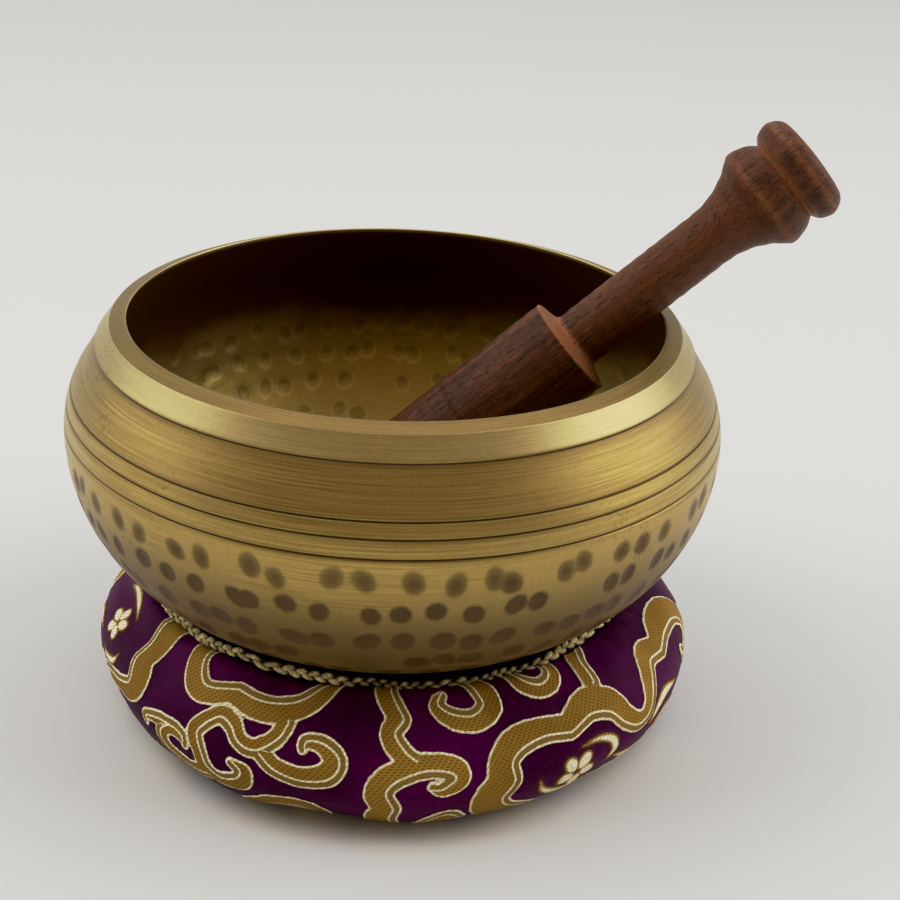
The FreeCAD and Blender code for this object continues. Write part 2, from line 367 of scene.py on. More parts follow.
def rounded_corner(before, corner, after, radius):
    """A small arc that blunts a corner between two straight runs."""
    before, corner, after = (np.array(point, float) for point in (before, corner, after))
    first = corner + (before - corner) / np.linalg.norm(before - corner) * radius
    last = corner + (after - corner) / np.linalg.norm(after - corner) * radius
    t = np.linspace(0, 1, 24)[:, None]
    return (1 - t) ** 2 * first + 2 * t * (1 - t) * corner + t ** 2 * last


class BowlSection(Section):
    """The bowl's closed section, from under the base, up the outside, over the rim and down inside."""

    def __init__(self):
        outer_shoulder = shoulder_end(SHOULDER_ARC)
        inner_shoulder = shoulder_end(SHOULDER_ARC - WALL)
        rim_outside = neck_point(outer_shoulder, RIM_HEIGHT - RIM_FALL)
        rim_inside = neck_point(inner_shoulder, RIM_HEIGHT)
        shoulder_centre = (BELLY_RADIUS - SHOULDER_ARC, BELLY_HEIGHT)
        belly_centre = (BELLY_CENTRE, BELLY_HEIGHT)
        base = line((0.0, BASE_HEIGHT), (BELLY_CENTRE, BASE_HEIGHT))
        belly = arc(belly_centre, BELLY_ARC, -math.pi / 2, 0)
        shoulder = arc(shoulder_centre, SHOULDER_ARC, 0, SHOULDER_TURN)
        outer_round = rounded_corner(outer_shoulder, rim_outside, rim_inside, RIM_ROUNDING)
        inner_round = rounded_corner(rim_outside, rim_inside, inner_shoulder, RIM_ROUNDING)
        neck = line(outer_shoulder, outer_round[0])
        rim = line(outer_round[-1], inner_round[0])
        inner_neck = line(inner_round[-1], inner_shoulder)
        inner_turn = arc(shoulder_centre, SHOULDER_ARC - WALL, SHOULDER_TURN, 0)
        inner_belly = arc(belly_centre, BELLY_ARC - WALL, 0, -math.pi / 2)
        floor = line((BELLY_CENTRE, BASE_HEIGHT + WALL), (0.0, BASE_HEIGHT + WALL))
        pieces = [base, belly, shoulder, neck, outer_round, rim, inner_round, inner_neck,
                  inner_turn, inner_belly, floor]
        super().__init__(*pieces)
        self.belly_start = BELLY_CENTRE
        self.widest = self.belly_start + BELLY_ARC * math.pi / 2
        self.neck_start = self.widest + SHOULDER_ARC * SHOULDER_TURN
        self.rim_start = self.run_at_height(outer_round[0][1], self.neck_start, self.length)
        self.rim_end = self.rim_start + sum(
            np.hypot(*np.diff(piece, axis=0).T).sum() for piece in (outer_round, rim, inner_round))
        self.inner_neck_end = self.rim_end + math.dist(inner_round[-1], inner_shoulder)
        self.inner_widest = self.inner_neck_end + (SHOULDER_ARC - WALL) * SHOULDER_TURN
        self.floor_start = self.inner_widest + (BELLY_ARC - WALL) * math.pi / 2
        heights = TURNED_LINES + (COLLAR_LINE,)
        self.lines = [self.run_at_height(height, self.widest, self.rim_start) for height in heights]


def hammer_marks(section):
    """Every hammer mark: angle, run, half width, half length, depth and skew, in uneven rows."""
    draw = random.Random(SEED)
    marks = []
    outer_rows = [(4.2, 58, 1.08), (14.5, 62, 1.04), (27.0, 60, 1.12), (39.0, 54, 1.16), (51.0, 46, 1.14),
                  (65.0, 38, 1.2)]
    inner_rows = [(7.0, 66, 0.98), (18.0, 62, 1.0), (30.0, 55, 1.03), (42.5, 48, 1.06), (56.0, 38, 1.08),
                  (71.0, 28, 1.1)]
    for inside, rows in ((False, outer_rows), (True, inner_rows)):
        for degrees, count, size in rows:
            turn = math.radians(degrees)
            if inside:
                run = section.inner_widest + turn * (BELLY_ARC - WALL)
            else:
                run = section.widest - turn * BELLY_ARC
            first = draw.uniform(0, 2 * math.pi)
            for number in range(count):
                if draw.random() < 0.05:
                    continue
                angle = first + (number + draw.uniform(-0.36, 0.36)) * 2 * math.pi / count
                marks.append((angle, run + draw.uniform(-1.0, 1.0),
                              size * draw.uniform(2.2, 2.75), size * draw.uniform(2.55, 3.05),
                              draw.uniform(0.26, 0.44), draw.uniform(-0.25, 0.25), draw.uniform(0, 6.28)))
    return marks


def beat_marks(section, runs, radii, angles, marks):
    """How far each point is beaten in, and how far outside the nearest mark it lies."""
    depth = np.zeros((len(runs), len(angles)))
    outside = np.full(depth.shape, 3.0)
    reach = 5.0
    for angle, run, half_width, half_length, deep, skew, phase in marks:
        rows = np.flatnonzero(np.abs(runs - run) < reach)
        if not len(rows):
            continue
        radius = float(np.interp(run, runs, radii))
        turn = (angles - angle + math.pi) % (2 * math.pi) - math.pi
        columns = np.flatnonzero(np.abs(turn) * radius < reach)
        across = turn[columns][None, :] * radius
        along = (runs[rows] - run)[:, None]
        across = across + skew * along
        spread = np.hypot(across / half_width, along / half_length)
        spread = spread * (1 + 0.05 * np.sin(2 * np.arctan2(along, across) + phase))
        picked = np.ix_(rows, columns)
        depth[picked] = np.maximum(depth[picked], deep * np.clip(1 - spread ** 2, 0, 1) ** 1.4)
        outside[picked] = np.minimum(outside[picked], (spread - 1) * half_width)
    return depth, outside


def make_bowl():
    section = BowlSection()
    zones = [(0, section.belly_start, 6.0), (section.belly_start, section.belly_start + 16, 2.0),
             (section.belly_start + 16, section.widest, 0.82), (section.widest, section.neck_start, 1.6),
             (section.neck_start, section.rim_start, 2.0), (section.rim_start, section.rim_end, 0.55),
             (section.rim_end, section.inner_widest, 2.2),
             (section.inner_widest, section.floor_start - 10, 0.95),
             (section.floor_start - 10, section.length, 3.5)]
    offsets = np.array([-0.6, -0.36, -0.26, -0.13, 0.0, 0.13, 0.26, 0.36, 0.6])
    runs = stations(*zones)
    for cut in section.lines:
        runs = runs[np.abs(runs - cut) > 0.8]
        runs = np.append(runs, cut + offsets)
    runs = np.sort(runs)
    angles = around(BOWL_COLUMNS)
    radius, height, normal_r, normal_z = section.at(runs)
    nearest_line = np.min([np.abs(runs - cut) for cut in section.lines], axis=0)
    groove = np.sqrt(np.clip(1 - (nearest_line / LINE_RADIUS) ** 2, 0, 1)) * LINE_DEPTH
    depth, outside = beat_marks(section, runs, radius, angles, hammer_marks(section))
    below_collar = section.lines[-1] - runs
    step_in = COLLAR_STEP * smooth(below_collar, 11.0, 0.6) * (below_collar > 0.1)
    lean = COLLAR_LEAN * np.clip(-below_collar / (section.rim_start - section.lines[-1]), 0, 1)
    step_in = step_in + lean * smooth(runs, section.rim_end, section.rim_start)
    sink = depth + np.maximum(groove, step_in)[:, None]
    # the outline's left-hand normal points into the metal, so a hollow is added along it
    radius = radius[:, None] + normal_r[:, None] * sink
    height = height[:, None] + normal_z[:, None] * sink
    grid = turn_points(radius, height, angles)
    mesh = mesh_from_grid("bowl_metal", grid)
    shape = outside.shape
    attributes = {
        "run": np.broadcast_to(runs[:, None], shape),
        "mark": outside,
        "line": np.broadcast_to(nearest_line[:, None], shape),
    }
    bowl = add_object("bowl_metal", mesh, bronze_material(section), attributes)
    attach(bowl, "bowl")
    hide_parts("bowl")


def bronze_material(section):
    """Turned and hammered bronze: ring-wise brushing, brown patination in the marks, the lines and inside;
    painted shade high inside, low on the belly and under the collar, painted highlights on the rim's edges
    and round the marks inside.
    """
    s = Shader("bronze")
    x, y, _ = s.split(s.place())
    radius = s.math("POWER", s.add(s.times(x, x), s.times(y, y)), 0.5)
    radius = s.math("MAXIMUM", radius, 0.004)
    ring_x, ring_y = s.math("DIVIDE", x, radius), s.math("DIVIDE", y, radius)
    run, mark, cut = s.attribute("run"), s.attribute("mark"), s.attribute("line")

    def past(edge, low, high):
        """0 at low and 1 at high, in millimetres along the outline past an edge."""
        return s.step(run, edge + low, edge + high)

    def around_ring(turns, rows, *noise):
        """Noise drawn out round the bowl: turns sets its length, rows how fine it is up the wall."""
        place = s.vector(s.times(ring_x, turns), s.times(ring_y, turns), s.times(run, rows))
        return s.noise(place, 1.0, *noise)

    brushed = around_ring(3.4, 2.6, 4.0, 0.6)
    lines = around_ring(2.6, 5.2, 1.0, 0.5)
    hairs = around_ring(9.0, 8.5, 3.0, 0.7)
    clouds = s.noise(s.place(), 32.0, 4.0, 0.6)
    specks = s.noise(s.place(), 900.0, 2.0, 0.5)
    stains = s.noise(s.place(), 30.0, 3.0, 0.6)

    metal = s.mix(s.step(brushed, 0.36, 0.66), (0.37, 0.262, 0.072), (0.53, 0.398, 0.122))
    metal = s.mix(s.step(clouds, 0.38, 0.66), metal, (0.45, 0.330, 0.108))
    turned = s.scale(past(section.lines[0], -1.0, 1.0), 0.10, 0.34)
    metal = s.mix(s.times(s.step(lines, 0.53, 0.62), turned), metal, (0.66, 0.51, 0.205))
    metal = s.mix(s.times(s.step(lines, 0.46, 0.36), turned), metal, (0.275, 0.172, 0.038))
    metal = s.mix(s.times(s.step(hairs, 0.58, 0.76), 0.3), metal, (0.72, 0.58, 0.28))
    metal = s.mix(s.times(s.step(hairs, 0.42, 0.26), 0.3), metal, (0.27, 0.165, 0.040))

    ragged = s.add(s.scale(hairs, -0.30, 0.30), s.scale(specks, -0.30, 0.30))
    in_mark = s.step(s.add(mark, ragged), 0.42, -0.85)
    mark_heart = s.step(mark, -0.9, -2.0)
    mark_edge = s.times(s.step(mark, 0.35, -0.1), s.step(mark, -1.0, -0.3))
    in_line = s.step(cut, 0.27, 0.10)
    near_line = s.times(s.step(cut, 1.4, 0.4), 0.22)
    collar = s.times(past(section.lines[3], 0.25, 0.7),
                     past(section.rim_start, 0.5, 0.0))
    # painted shade: the belly darker towards its bottom, easing off a little nearest the base
    low = s.times(past(section.belly_start, 71, 48), 0.80)
    low = s.add(low, s.times(past(section.belly_start, 42, 24), -0.24))
    inner = past(section.rim_end, -0.4, 1.4)
    # the upper inside wall darkened nearly to black: dark patination, and painted shade standing in for the
    # dark reflections there
    wavy = s.add(run, s.scale(clouds, -9.0, 9.0))
    dark_wall = s.times(inner, s.step(wavy, section.inner_widest + 15, section.inner_widest - 3))
    pits = s.times(s.step(specks, 0.56, 0.66), s.step(stains, 0.60, 0.70))
    pits = s.times(pits, s.scale(inner, 1.0, 0.3))
    neck = s.times(past(section.lines[2], -0.6, 1.2),
                   past(section.lines[3], 0.4, -0.4))
    # darker just under the collar line: patination that gathers there, and painted shade under the collar's
    # step
    under_collar = s.times(neck, past(section.lines[3], -5.0, -0.6))
    rim_flat = s.times(past(section.rim_start, 0.2, 1.0),
                       past(section.rim_end, -0.2, -0.9))

    in_mark = s.times(in_mark, s.scale(past(section.belly_start, 60, 56), 1.0, 0.82))
    outer_mark = s.times(in_mark, s.add(s.scale(mark_heart, 0.64, 0.80), s.scale(clouds, -0.24, 0.20)))
    patina_and_shade = s.times(outer_mark, s.scale(inner, 1.0, 0.24))
    patina_and_shade = s.math("MAXIMUM", patina_and_shade, near_line)
    patina_and_shade = s.add(patina_and_shade, low)
    patina_and_shade = s.add(patina_and_shade, s.times(neck, s.scale(brushed, 0.36, 0.10)))
    patina_and_shade = s.add(patina_and_shade, s.times(under_collar, 0.14))
    patina_and_shade = s.add(patina_and_shade, s.times(collar, s.add(s.scale(clouds, -0.30, 0.16), s.scale(hairs, -0.16, 0.16))))
    patina_and_shade = s.add(patina_and_shade, s.times(rim_flat, s.scale(clouds, 0.42, 0.72)))
    patina_and_shade = s.add(patina_and_shade, s.times(inner, 0.10))
    patina_and_shade = s.math("ADD", patina_and_shade, s.times(pits, 0.42), clamp=True)
    metal = s.mix(s.times(inner, 0.55), metal, (0.56, 0.38, 0.078))
    # arris: bright lines along the rim's two edges, partly polished wear and partly painted highlight
    arris = s.math("MAXIMUM", s.step(s.math("ABSOLUTE", s.add(run, -section.rim_start - 0.25)), 0.42, 0.12),
                   s.step(s.math("ABSOLUTE", s.add(run, 0.25 - section.rim_end)), 0.42, 0.12))
    metal = s.mix(s.times(collar, 0.45), metal, (0.64, 0.55, 0.30))
    # the brown the metal darkens to, both for patination and for painted shade
    tarnish_and_shade = s.mix(in_mark, (0.122, 0.058, 0.0080), (0.098, 0.053, 0.0110))
    colour = s.mix(patina_and_shade, metal, tarnish_and_shade)
    colour = s.mix(s.times(s.step(specks, 0.40, 0.72), 0.10), colour, (0.165, 0.110, 0.036))
    colour = s.mix(s.times(in_line, 0.9), colour, (0.030, 0.011, 0.0015))
    colour = s.mix(s.times(arris, 0.7), colour, (0.78, 0.68, 0.38))
    # a pale ring round each mark inside the bowl: painted highlight
    colour = s.mix(s.times(s.times(mark_edge, inner), 0.42), colour, (0.66, 0.49, 0.19))
    # painted shade and dark patination on the upper inside wall
    colour = s.mix(s.times(dark_wall, 0.97), colour, (0.040, 0.0100, 0.0020))

    rough = s.scale(brushed, 0.30, 0.46)
    rough = s.add(rough, s.times(patina_and_shade, 0.12))
    rough = s.add(rough, s.times(dark_wall, 0.10))
    relief = s.add(s.times(hairs, 0.7), s.times(lines, 0.5))
    relief = s.add(relief, s.times(pits, -0.5))
    normal = s.bump(relief, 0.00004, 0.9)
    # the metal turns matte under patination and painted shade, most of all on the dark upper inside wall
    oxide_and_shade = s.math("MAXIMUM", s.times(patina_and_shade, 0.45), s.times(dark_wall, 0.75))
    metallic = s.scale(oxide_and_shade, 1.0, 0.0)
    return s.finish_with(Base_Color=colour, Metallic=metallic, Roughness=rough, Normal=normal,
                         Anisotropic=0.45, Anisotropic_Rotation=0.25, Coat_Weight=0.25,
                         Coat_Roughness=0.38, IOR=1.25)


# ---------------------------------------------------------------------------
# Mallet
# ---------------------------------------------------------------------------
def mallet_section():
    up = BARREL_LENGTH
    foot, broken = BARREL_RADIUS - FOOT_ROUNDING, BARREL_RADIUS - BARREL_BREAK
    cone = HANDLE_RADIUS + CONE_WIDTH
    fillet_end = up + CONE_RISE + CONE_WIDTH
    return Section(
        line((0, 0), (foot, 0)),
        arc_between((foot, 0), (BARREL_RADIUS, FOOT_ROUNDING), FOOT_ROUNDING, -1),
        line((BARREL_RADIUS, FOOT_ROUNDING), (BARREL_RADIUS, up - BARREL_BREAK)),
        arc_between((BARREL_RADIUS, up - BARREL_BREAK), (broken, up), BARREL_BREAK, -1),
        line((broken, up), (cone, up + CONE_RISE)),
        arc_between((cone, up + CONE_RISE), (HANDLE_RADIUS, fillet_end), CONE_FILLET, 1),
        line((HANDLE_RADIUS, fillet_end), (HANDLE_RADIUS, up + FLARE_START)),
        arc_between((HANDLE_RADIUS, up + FLARE_START), (FLARE_RADIUS, up + FLARE_END), FLARE_ARC, 1),
        arc_between((FLARE_RADIUS, up + FLARE_END), (NECK_RADIUS, up + NECK_STATION), BEAD_ARC, -1),
        arc_between((NECK_RADIUS, up + NECK_STATION), (KNOB_RADIUS, up + KNOB_STATION), KNOB_ARC, -1),
        arc_between((KNOB_RADIUS, up + KNOB_STATION), (KNOB_FACE_RADIUS, up + KNOB_END), KNOB_ARC, -1),
        arc_between((KNOB_FACE_RADIUS, up + KNOB_END), (0, up + KNOB_END + KNOB_DOME), KNOB_DOME_ARC, -1),
    )


def make_mallet():
    section = mallet_section()
    runs = stations((0, section.length, 0.5))
    angles = around(128)
    radius, height, normal_r, normal_z = section.at(runs)
    draw = random.Random(SEED + 3)
    tooling = sum(TOOLING * np.sin(runs * draw.uniform(0.5, 2.2) + draw.uniform(0, 6)) for _ in range(5))
    score = sum(much * np.exp(-((height - at) / wide) ** 2) for at, wide, much in SCORE_STATIONS)
    score = score * (normal_r < -0.9)
    sink = np.clip(tooling * (radius > 3) + 0.06, 0, None) + 0.2 * score
    radius = np.clip(radius + normal_r * sink, 0, None)
    height = height + normal_z * sink
    local = turn_points(radius[:, None], height[:, None], angles)
    flats = 0.10 * np.sin(5 * angles + 0.8)[None, :] * smooth(radius, 4, 9)[:, None]
    local[..., 0] -= np.clip(flats, 0, None) * np.cos(angles)
    local[..., 1] -= np.clip(flats, 0, None) * np.sin(angles)
    lean = (Matrix.Translation(MALLET_FOOT) @ Matrix.Rotation(MALLET_AZIMUTH, 4, "Z")
            @ Matrix.Rotation(math.pi / 2 - MALLET_ELEVATION, 4, "Y"))
    turn = np.array(lean.to_3x3())
    grid = local @ turn.T + np.array(MALLET_FOOT)
    mesh = mesh_from_grid("mallet_wood", grid)
    # edges rubbed pale by handling: station, reach and strength
    worn_at = ((0.0, 1.3, 1.0), (BARREL_LENGTH + FLARE_END + 0.4, 0.9, 0.55),
               (BARREL_LENGTH + NECK_STATION, 1.3, 0.8), (BARREL_LENGTH + KNOB_STATION + 0.4, 0.9, 0.5))
    worn = np.max([much * np.exp(-((height - edge) / wide) ** 2) for edge, wide, much in worn_at], axis=0)
    worn = worn * smooth(radius, 8.5, 10.5)
    shoulder = (smooth(height, BARREL_LENGTH - 0.7, BARREL_LENGTH - 0.2)
                * smooth(height, BARREL_LENGTH + 3.0, BARREL_LENGTH + 1.6))
    worn = np.maximum(worn, shoulder)
    attributes = {
        "along": local[..., 2], "side_x": local[..., 0], "side_y": local[..., 1],
        "worn": np.broadcast_to(worn[:, None], local.shape[:2]),
        "score": score[:, None] * smooth(np.sin(angles + 2.2), -0.4, 0.5)[None, :],
        "end_grain": np.broadcast_to(smooth(np.abs(normal_z), 0.55, 0.9)[:, None], local.shape[:2]),
    }
    mallet = add_object("mallet_wood", mesh, rosewood_material(), attributes)
    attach(mallet, "mallet")
    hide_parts("mallet")


def rosewood_material():
    """Dark reddish wood: growth streaks and pores run along the mallet, rubbed paler at its edges."""
    s = Shader("rosewood")
    along, side_x, side_y = s.attribute("along"), s.attribute("side_x"), s.attribute("side_y")
    worn, end_grain, score = s.attribute("worn"), s.attribute("end_grain"), s.attribute("score")
    cut = s.vector(side_x, side_y, s.times(along, 0.055))
    warp = s.noise(s.vector(s.times(side_x, 0.14), s.times(side_y, 0.14), s.times(along, 0.02)), 1.0, 2.0)
    from_heart = s.math("POWER", s.add(s.math("POWER", s.add(side_x, 31.0), 2.0),
                                       s.math("POWER", s.add(side_y, 12.0), 2.0)), 0.5)
    rings = s.math("SINE", s.add(s.times(from_heart, 2.3), s.scale(warp, 0.0, 22.0)))
    rings = s.scale(rings, 0.5, 1.0)
    streaks = s.noise(cut, 0.42, 5.0, 0.62, 0.6)
    fibres = s.noise(s.vector(side_x, side_y, s.times(along, 0.03)), 2.6, 4.0, 0.65)
    pores = s.noise(s.vector(side_x, side_y, s.times(along, 0.16)), 2.5, 2.0, 0.5)
    pore = s.times(s.step(pores, 0.585, 0.66), s.scale(end_grain, 1.0, 0.4))

    blotch = s.noise(s.vector(side_x, side_y, s.times(along, 0.35)), 0.16, 3.0, 0.5)
    colour = s.mix(s.step(streaks, 0.32, 0.70), (0.040, 0.0125, 0.0050), (0.128, 0.0430, 0.0165))
    colour = s.mix(s.times(s.step(rings, 0.62, 1.0), 0.35), colour, (0.036, 0.0100, 0.0048))
    colour = s.mix(s.times(s.step(fibres, 0.45, 0.68), 0.5), colour, (0.175, 0.064, 0.026))
    colour = s.mix(s.times(s.step(blotch, 0.55, 0.70), 0.45), colour, (0.040, 0.0125, 0.0065))
    sanded = s.step(fibres, 0.40, 0.62)
    # painted light: the handle lighter than the barrel, standing in for the shade on the barrel down in the
    # bowl
    lit_handle = s.times(s.step(along, BARREL_LENGTH - 2.0, BARREL_LENGTH + 14.0),
                     s.step(along, BARREL_LENGTH + 62.0, BARREL_LENGTH + 48.0))
    colour = s.mix(s.times(lit_handle, 0.42), colour, (0.170, 0.062, 0.024))
    colour = s.mix(s.times(end_grain, 0.6), colour, (0.150, 0.050, 0.019))
    colour = s.mix(s.times(worn, s.scale(sanded, 0.45, 0.95)), colour, (0.330, 0.126, 0.050))
    colour = s.mix(s.times(s.math("MAXIMUM", pore, score), 0.75), colour, (0.016, 0.006, 0.004))
    rough = s.add(s.scale(fibres, 0.34, 0.50), s.times(pore, 0.2))
    turning = s.math("SINE", s.times(along, 9.5))
    relief = s.add(s.times(fibres, s.scale(worn, 0.7, 1.8)), s.times(pore, -0.9))
    relief = s.add(relief, s.times(turning, 0.10))
    normal = s.bump(relief, 0.00009, 0.8)
    return s.finish_with(Base_Color=colour, Roughness=rough, Normal=normal, IOR=1.3,
                         Specular_IOR_Level=0.5)


# ---------------------------------------------------------------------------
# Brocade pattern
# ---------------------------------------------------------------------------
REPEAT_DEG = 180.0
STRAND_OFFSET = 1.7
MM_PER_DEG = 1.31
FAR = 99.0

# Each stroke is a chain of lobes that meet in a cusp. A lobe's points are (degrees round the ring,
# mm of cloth below the crown, half width in mm). The sign says on which side the twin strand runs.
CLOUD_STROKES = [
    # tall band at the left, which sweeps away in a tail
    (1, [[(-145.5, -2, 5.2), (-145.7, 5, 5.2), (-146, 9, 5.0), (-147, 14, 4.5)],
         [(-147, 14, 4.5), (-144.6, 18, 5.0), (-146, 21.8, 3.4), (-151, 24, 2.4), (-157, 25.8, 2.2),
          (-163, 30, 2.6), (-165, 36, 3.4), (-161, 42, 4.0), (-160, 50, 4.0)]]),
    # hanging arch under the crown seam
    (-1, [[(-133, -2, 3.4), (-132.8, 5.5, 3.3), (-128, 11, 3.0), (-120.3, 9, 2.6)],
          [(-120.3, 9, 2.7), (-114, 10.5, 3.1), (-107, 8.5, 3.1), (-101.5, 2, 2.6), (-100, -2, 2.4)]]),
    # small cloud with a curl each side and a comma
    (-1, [[(-108.3, 12.5, 2.3), (-109.3, 16, 2.2), (-112.8, 19.4, 2.1), (-116, 18.6, 2.1),
           (-118, 15.8, 2.2), (-121, 14.6, 2.2), (-123.6, 17, 2.2)],
          [(-123.6, 17, 2.2), (-125.3, 20.5, 2.4), (-123.6, 25, 2.2), (-122.3, 28.5, 2.4),
           (-119, 30, 2.2), (-115.3, 28.5, 2.6), (-114.6, 25.5, 2.1), (-117, 24.2, 1.0)]]),
    (-1, [[(-122.5, 30, 2.2), (-127, 31.5, 2.3), (-132, 29.5, 2.3), (-133.5, 25.5, 2.2),
           (-131.2, 22.6, 2.0), (-128, 23.3, 1.7), (-127.3, 25.3, 1.0)]]),
    (1, [[(-131.5, 22.3, 1.8), (-135, 22.6, 1.7), (-138.8, 24, 1.3), (-138.2, 26, 0.7)]]),
    (1, [[(-111.3, 20.2, 2.2), (-108.5, 22.6, 2.3), (-104, 23.7, 2.4), (-99.6, 22, 2.8),
          (-98.4, 18.8, 2.7), (-101, 15.8, 2.0), (-104, 15.6, 1.6), (-104.3, 17.5, 0.9)]]),
    # band at the front with its hook
    (-1, [[(-89.5, -2, 3.0), (-90, 3, 3.0), (-87.3, 9.3, 2.6)],
          [(-87.3, 9.3, 2.6), (-89, 12.5, 2.6), (-87, 16.5, 2.4), (-84.5, 18.6, 2.0)]]),
    (1, [[(-89, 50, 4.0), (-90, 40, 3.8), (-90.5, 34, 3.6), (-89.5, 29.8, 3.2)],
         [(-89.5, 29.8, 3.2), (-90.8, 25, 3.2), (-88.5, 21.3, 3.0), (-83, 19.3, 2.7),
          (-78.3, 20.3, 2.7), (-77.3, 22.8, 2.4), (-80, 24.8, 1.8), (-82, 24.0, 0.9)]]),
    # curl and cup that hang from the crown seam
    (1, [[(-72.5, -2, 3.0), (-70.5, 3, 3.2), (-69.5, 7.5, 3.2), (-73, 10.4, 2.7), (-77.5, 9.4, 2.5),
          (-80, 6.3, 2.0), (-78.6, 4.2, 1.2)]]),
    (-1, [[(-62.3, -2, 2.2), (-61.2, 4, 2.4), (-57, 6.6, 2.4), (-53.2, 4.3, 2.4), (-52, -2, 2.2)]]),
    (-1, [[(-41.5, -1, 2.6), (-45, 4, 2.6), (-46.2, 9.5, 2.6)]]),
    # great cloud band, from under the cushion up over the right of the front
    (1, [[(-58, 50, 4.6), (-63, 41, 4.6), (-69.5, 35.5, 4.6), (-71.5, 30, 4.6), (-69.2, 25, 4.2)],
         [(-69.2, 25, 4.0), (-69.2, 20.5, 3.7), (-66.5, 17, 3.6), (-61, 15.9, 3.0), (-55.3, 17, 2.9)],
         [(-55.3, 17, 3.0), (-50, 14.1, 3.9), (-45, 16, 3.7), (-42, 21, 2.9), (-38.5, 23.9, 2.4),
          (-35, 22.8, 2.4), (-32, 17, 3.1), (-28.5, 12.8, 3.4), (-22.5, 14, 2.9)],
         [(-22.5, 14, 3.0), (-17, 11.5, 4.1), (-10, 12.5, 4.2), (-5.5, 17.5, 3.6), (-7, 23, 2.8),
          (-11.5, 24.5, 2.0), (-13.5, 21.8, 1.1)]]),
    # clouds that show only below the bulge
    (1, [[(-116, 47, 3.0), (-115, 39, 3.0), (-110, 34.5, 3.0)],
         [(-110, 34.5, 3.0), (-104.5, 34, 3.0), (-101.8, 38, 3.0), (-104, 43, 2.4), (-108, 42.5, 1.2)]]),
    (-1, [[(-77, 48, 3.0), (-81, 44, 3.0), (-82, 38, 2.8), (-79, 34, 2.6), (-76.3, 36, 1.4)]]),
    (-1, [[(-30, 50, 3.6), (-34, 42, 3.6), (-41, 39, 3.0)],
          [(-41, 39, 3.0), (-46, 42, 3.0), (-50, 47, 2.6)]]),
    (1, [[(-150, 50, 3.2), (-147, 42, 3.2), (-141, 37, 3.0), (-136.5, 39, 2.4), (-139, 42.5, 1.2)]]),
]
# crescents and leaves: chains of (degrees, mm, half width)
BLOSSOM_STROKES = [
    [(-62.2, 27.6, 0.3), (-61.2, 31.0, 1.0), (-58.0, 34.0, 1.4), (-53.0, 35.6, 1.3), (-49.0, 35.2, 0.4)],
    [(-53.5, 22.6, 0.3), (-49.5, 22.4, 0.9), (-46.2, 24.2, 1.3), (-45.2, 27.6, 1.3), (-46.6, 30.6, 0.4)],
    [(-44.5, 30.5, 0.4), (-41.0, 32.6, 1.1), (-36.5, 33.2, 1.1), (-33.0, 32.0, 0.3)],
    [(-34.5, 27.4, 0.4), (-31, 24.6, 1.4), (-27, 23.4, 1.5), (-21, 24.8, 0.4)],
    [(-33, 30, 0.4), (-28, 28.5, 1.2), (-22, 28.5, 0.5)],
    [(-155.8, 18.5, 0.3), (-157.0, 21.8, 1.2), (-161.5, 23.6, 1.0), (-164.5, 22.8, 0.3)],
    [(-172.5, 7.0, 0.3), (-168.0, 5.4, 1.0), (-163.0, 6.0, 1.2), (-159.5, 8.4, 0.4)],
    [(-178, 20, 0.3), (-174, 20.6, 1.2), (-169.5, 21.6, 0.4)],
    [(-176, 27, 0.3), (-172.5, 29.2, 1.3), (-169, 28.2, 0.5)],
]
# flowers: degrees, mm below the crown, petal length in mm, turn
FLOWERS = [(-54.2, 29.0, 4.2, 0.3), (-164.2, 14.4, 4.0, 0.9), (-27.0, 33.5, 3.2, 0.1)]


def petals(centre_x, centre_y, length, turn):
    """Five rounded petals, each laid over the one before."""
    strokes = []
    for number in range(5):
        angle = turn + number * 2 * math.pi / 5
        reach = [(0.25, 0.20), (0.66, 0.50), (0.95, 0.44)]
        strokes.append([(centre_x + far * length * math.cos(angle) / MM_PER_DEG,
                         centre_y + far * length * math.sin(angle), wide * length) for far, wide in reach])
    return strokes


def spline(points, step=0.8):
    """Catmull-Rom curve through the points, about a step apart, as (x mm, y mm, half width)."""
    knots = np.array([(x * MM_PER_DEG, y, w) for x, y, w in points], float)
    padded = np.vstack([2 * knots[0] - knots[1], knots, 2 * knots[-1] - knots[-2]])
    rows = []
    for i in range(len(knots) - 1):
        a, b, c, d = padded[i:i + 4]
        count = max(2, int(np.hypot(*(c - b)[:2]) / step))
        t = np.linspace(0, 1, count, endpoint=False)[:, None]
        rows.append(0.5 * (2 * b + (c - a) * t + (2 * a - 5 * b + 4 * c - d) * t ** 2
                           + (3 * b - a - 3 * c + d) * t ** 3))
    return np.vstack(rows + [knots[-1:]])


def nearest_on_path(x, y, path):
    """Distance to the path less its half width, and the signed distance across it."""
    best = np.full(x.shape, FAR)
    across = np.zeros(x.shape)
    width = np.zeros(x.shape)
    for (ax, ay, aw), (bx, by, bw) in zip(path[:-1], path[1:]):
        dx, dy = bx - ax, by - ay
        run = dx * dx + dy * dy
        if run == 0:
            continue
        t = np.clip(((x - ax) * dx + (y - ay) * dy) / run, 0, 1)
        off_x, off_y = x - ax - t * dx, y - ay - t * dy
        half = aw + (bw - aw) * t
        distance = np.hypot(off_x, off_y)
        edge = distance - half
        side = np.sign(dx * off_y - dy * off_x)
        closer = edge < best
        best = np.where(closer, edge, best)
        across = np.where(closer, side * distance, across)
        width = np.where(closer, half, width)
    return best, across, width


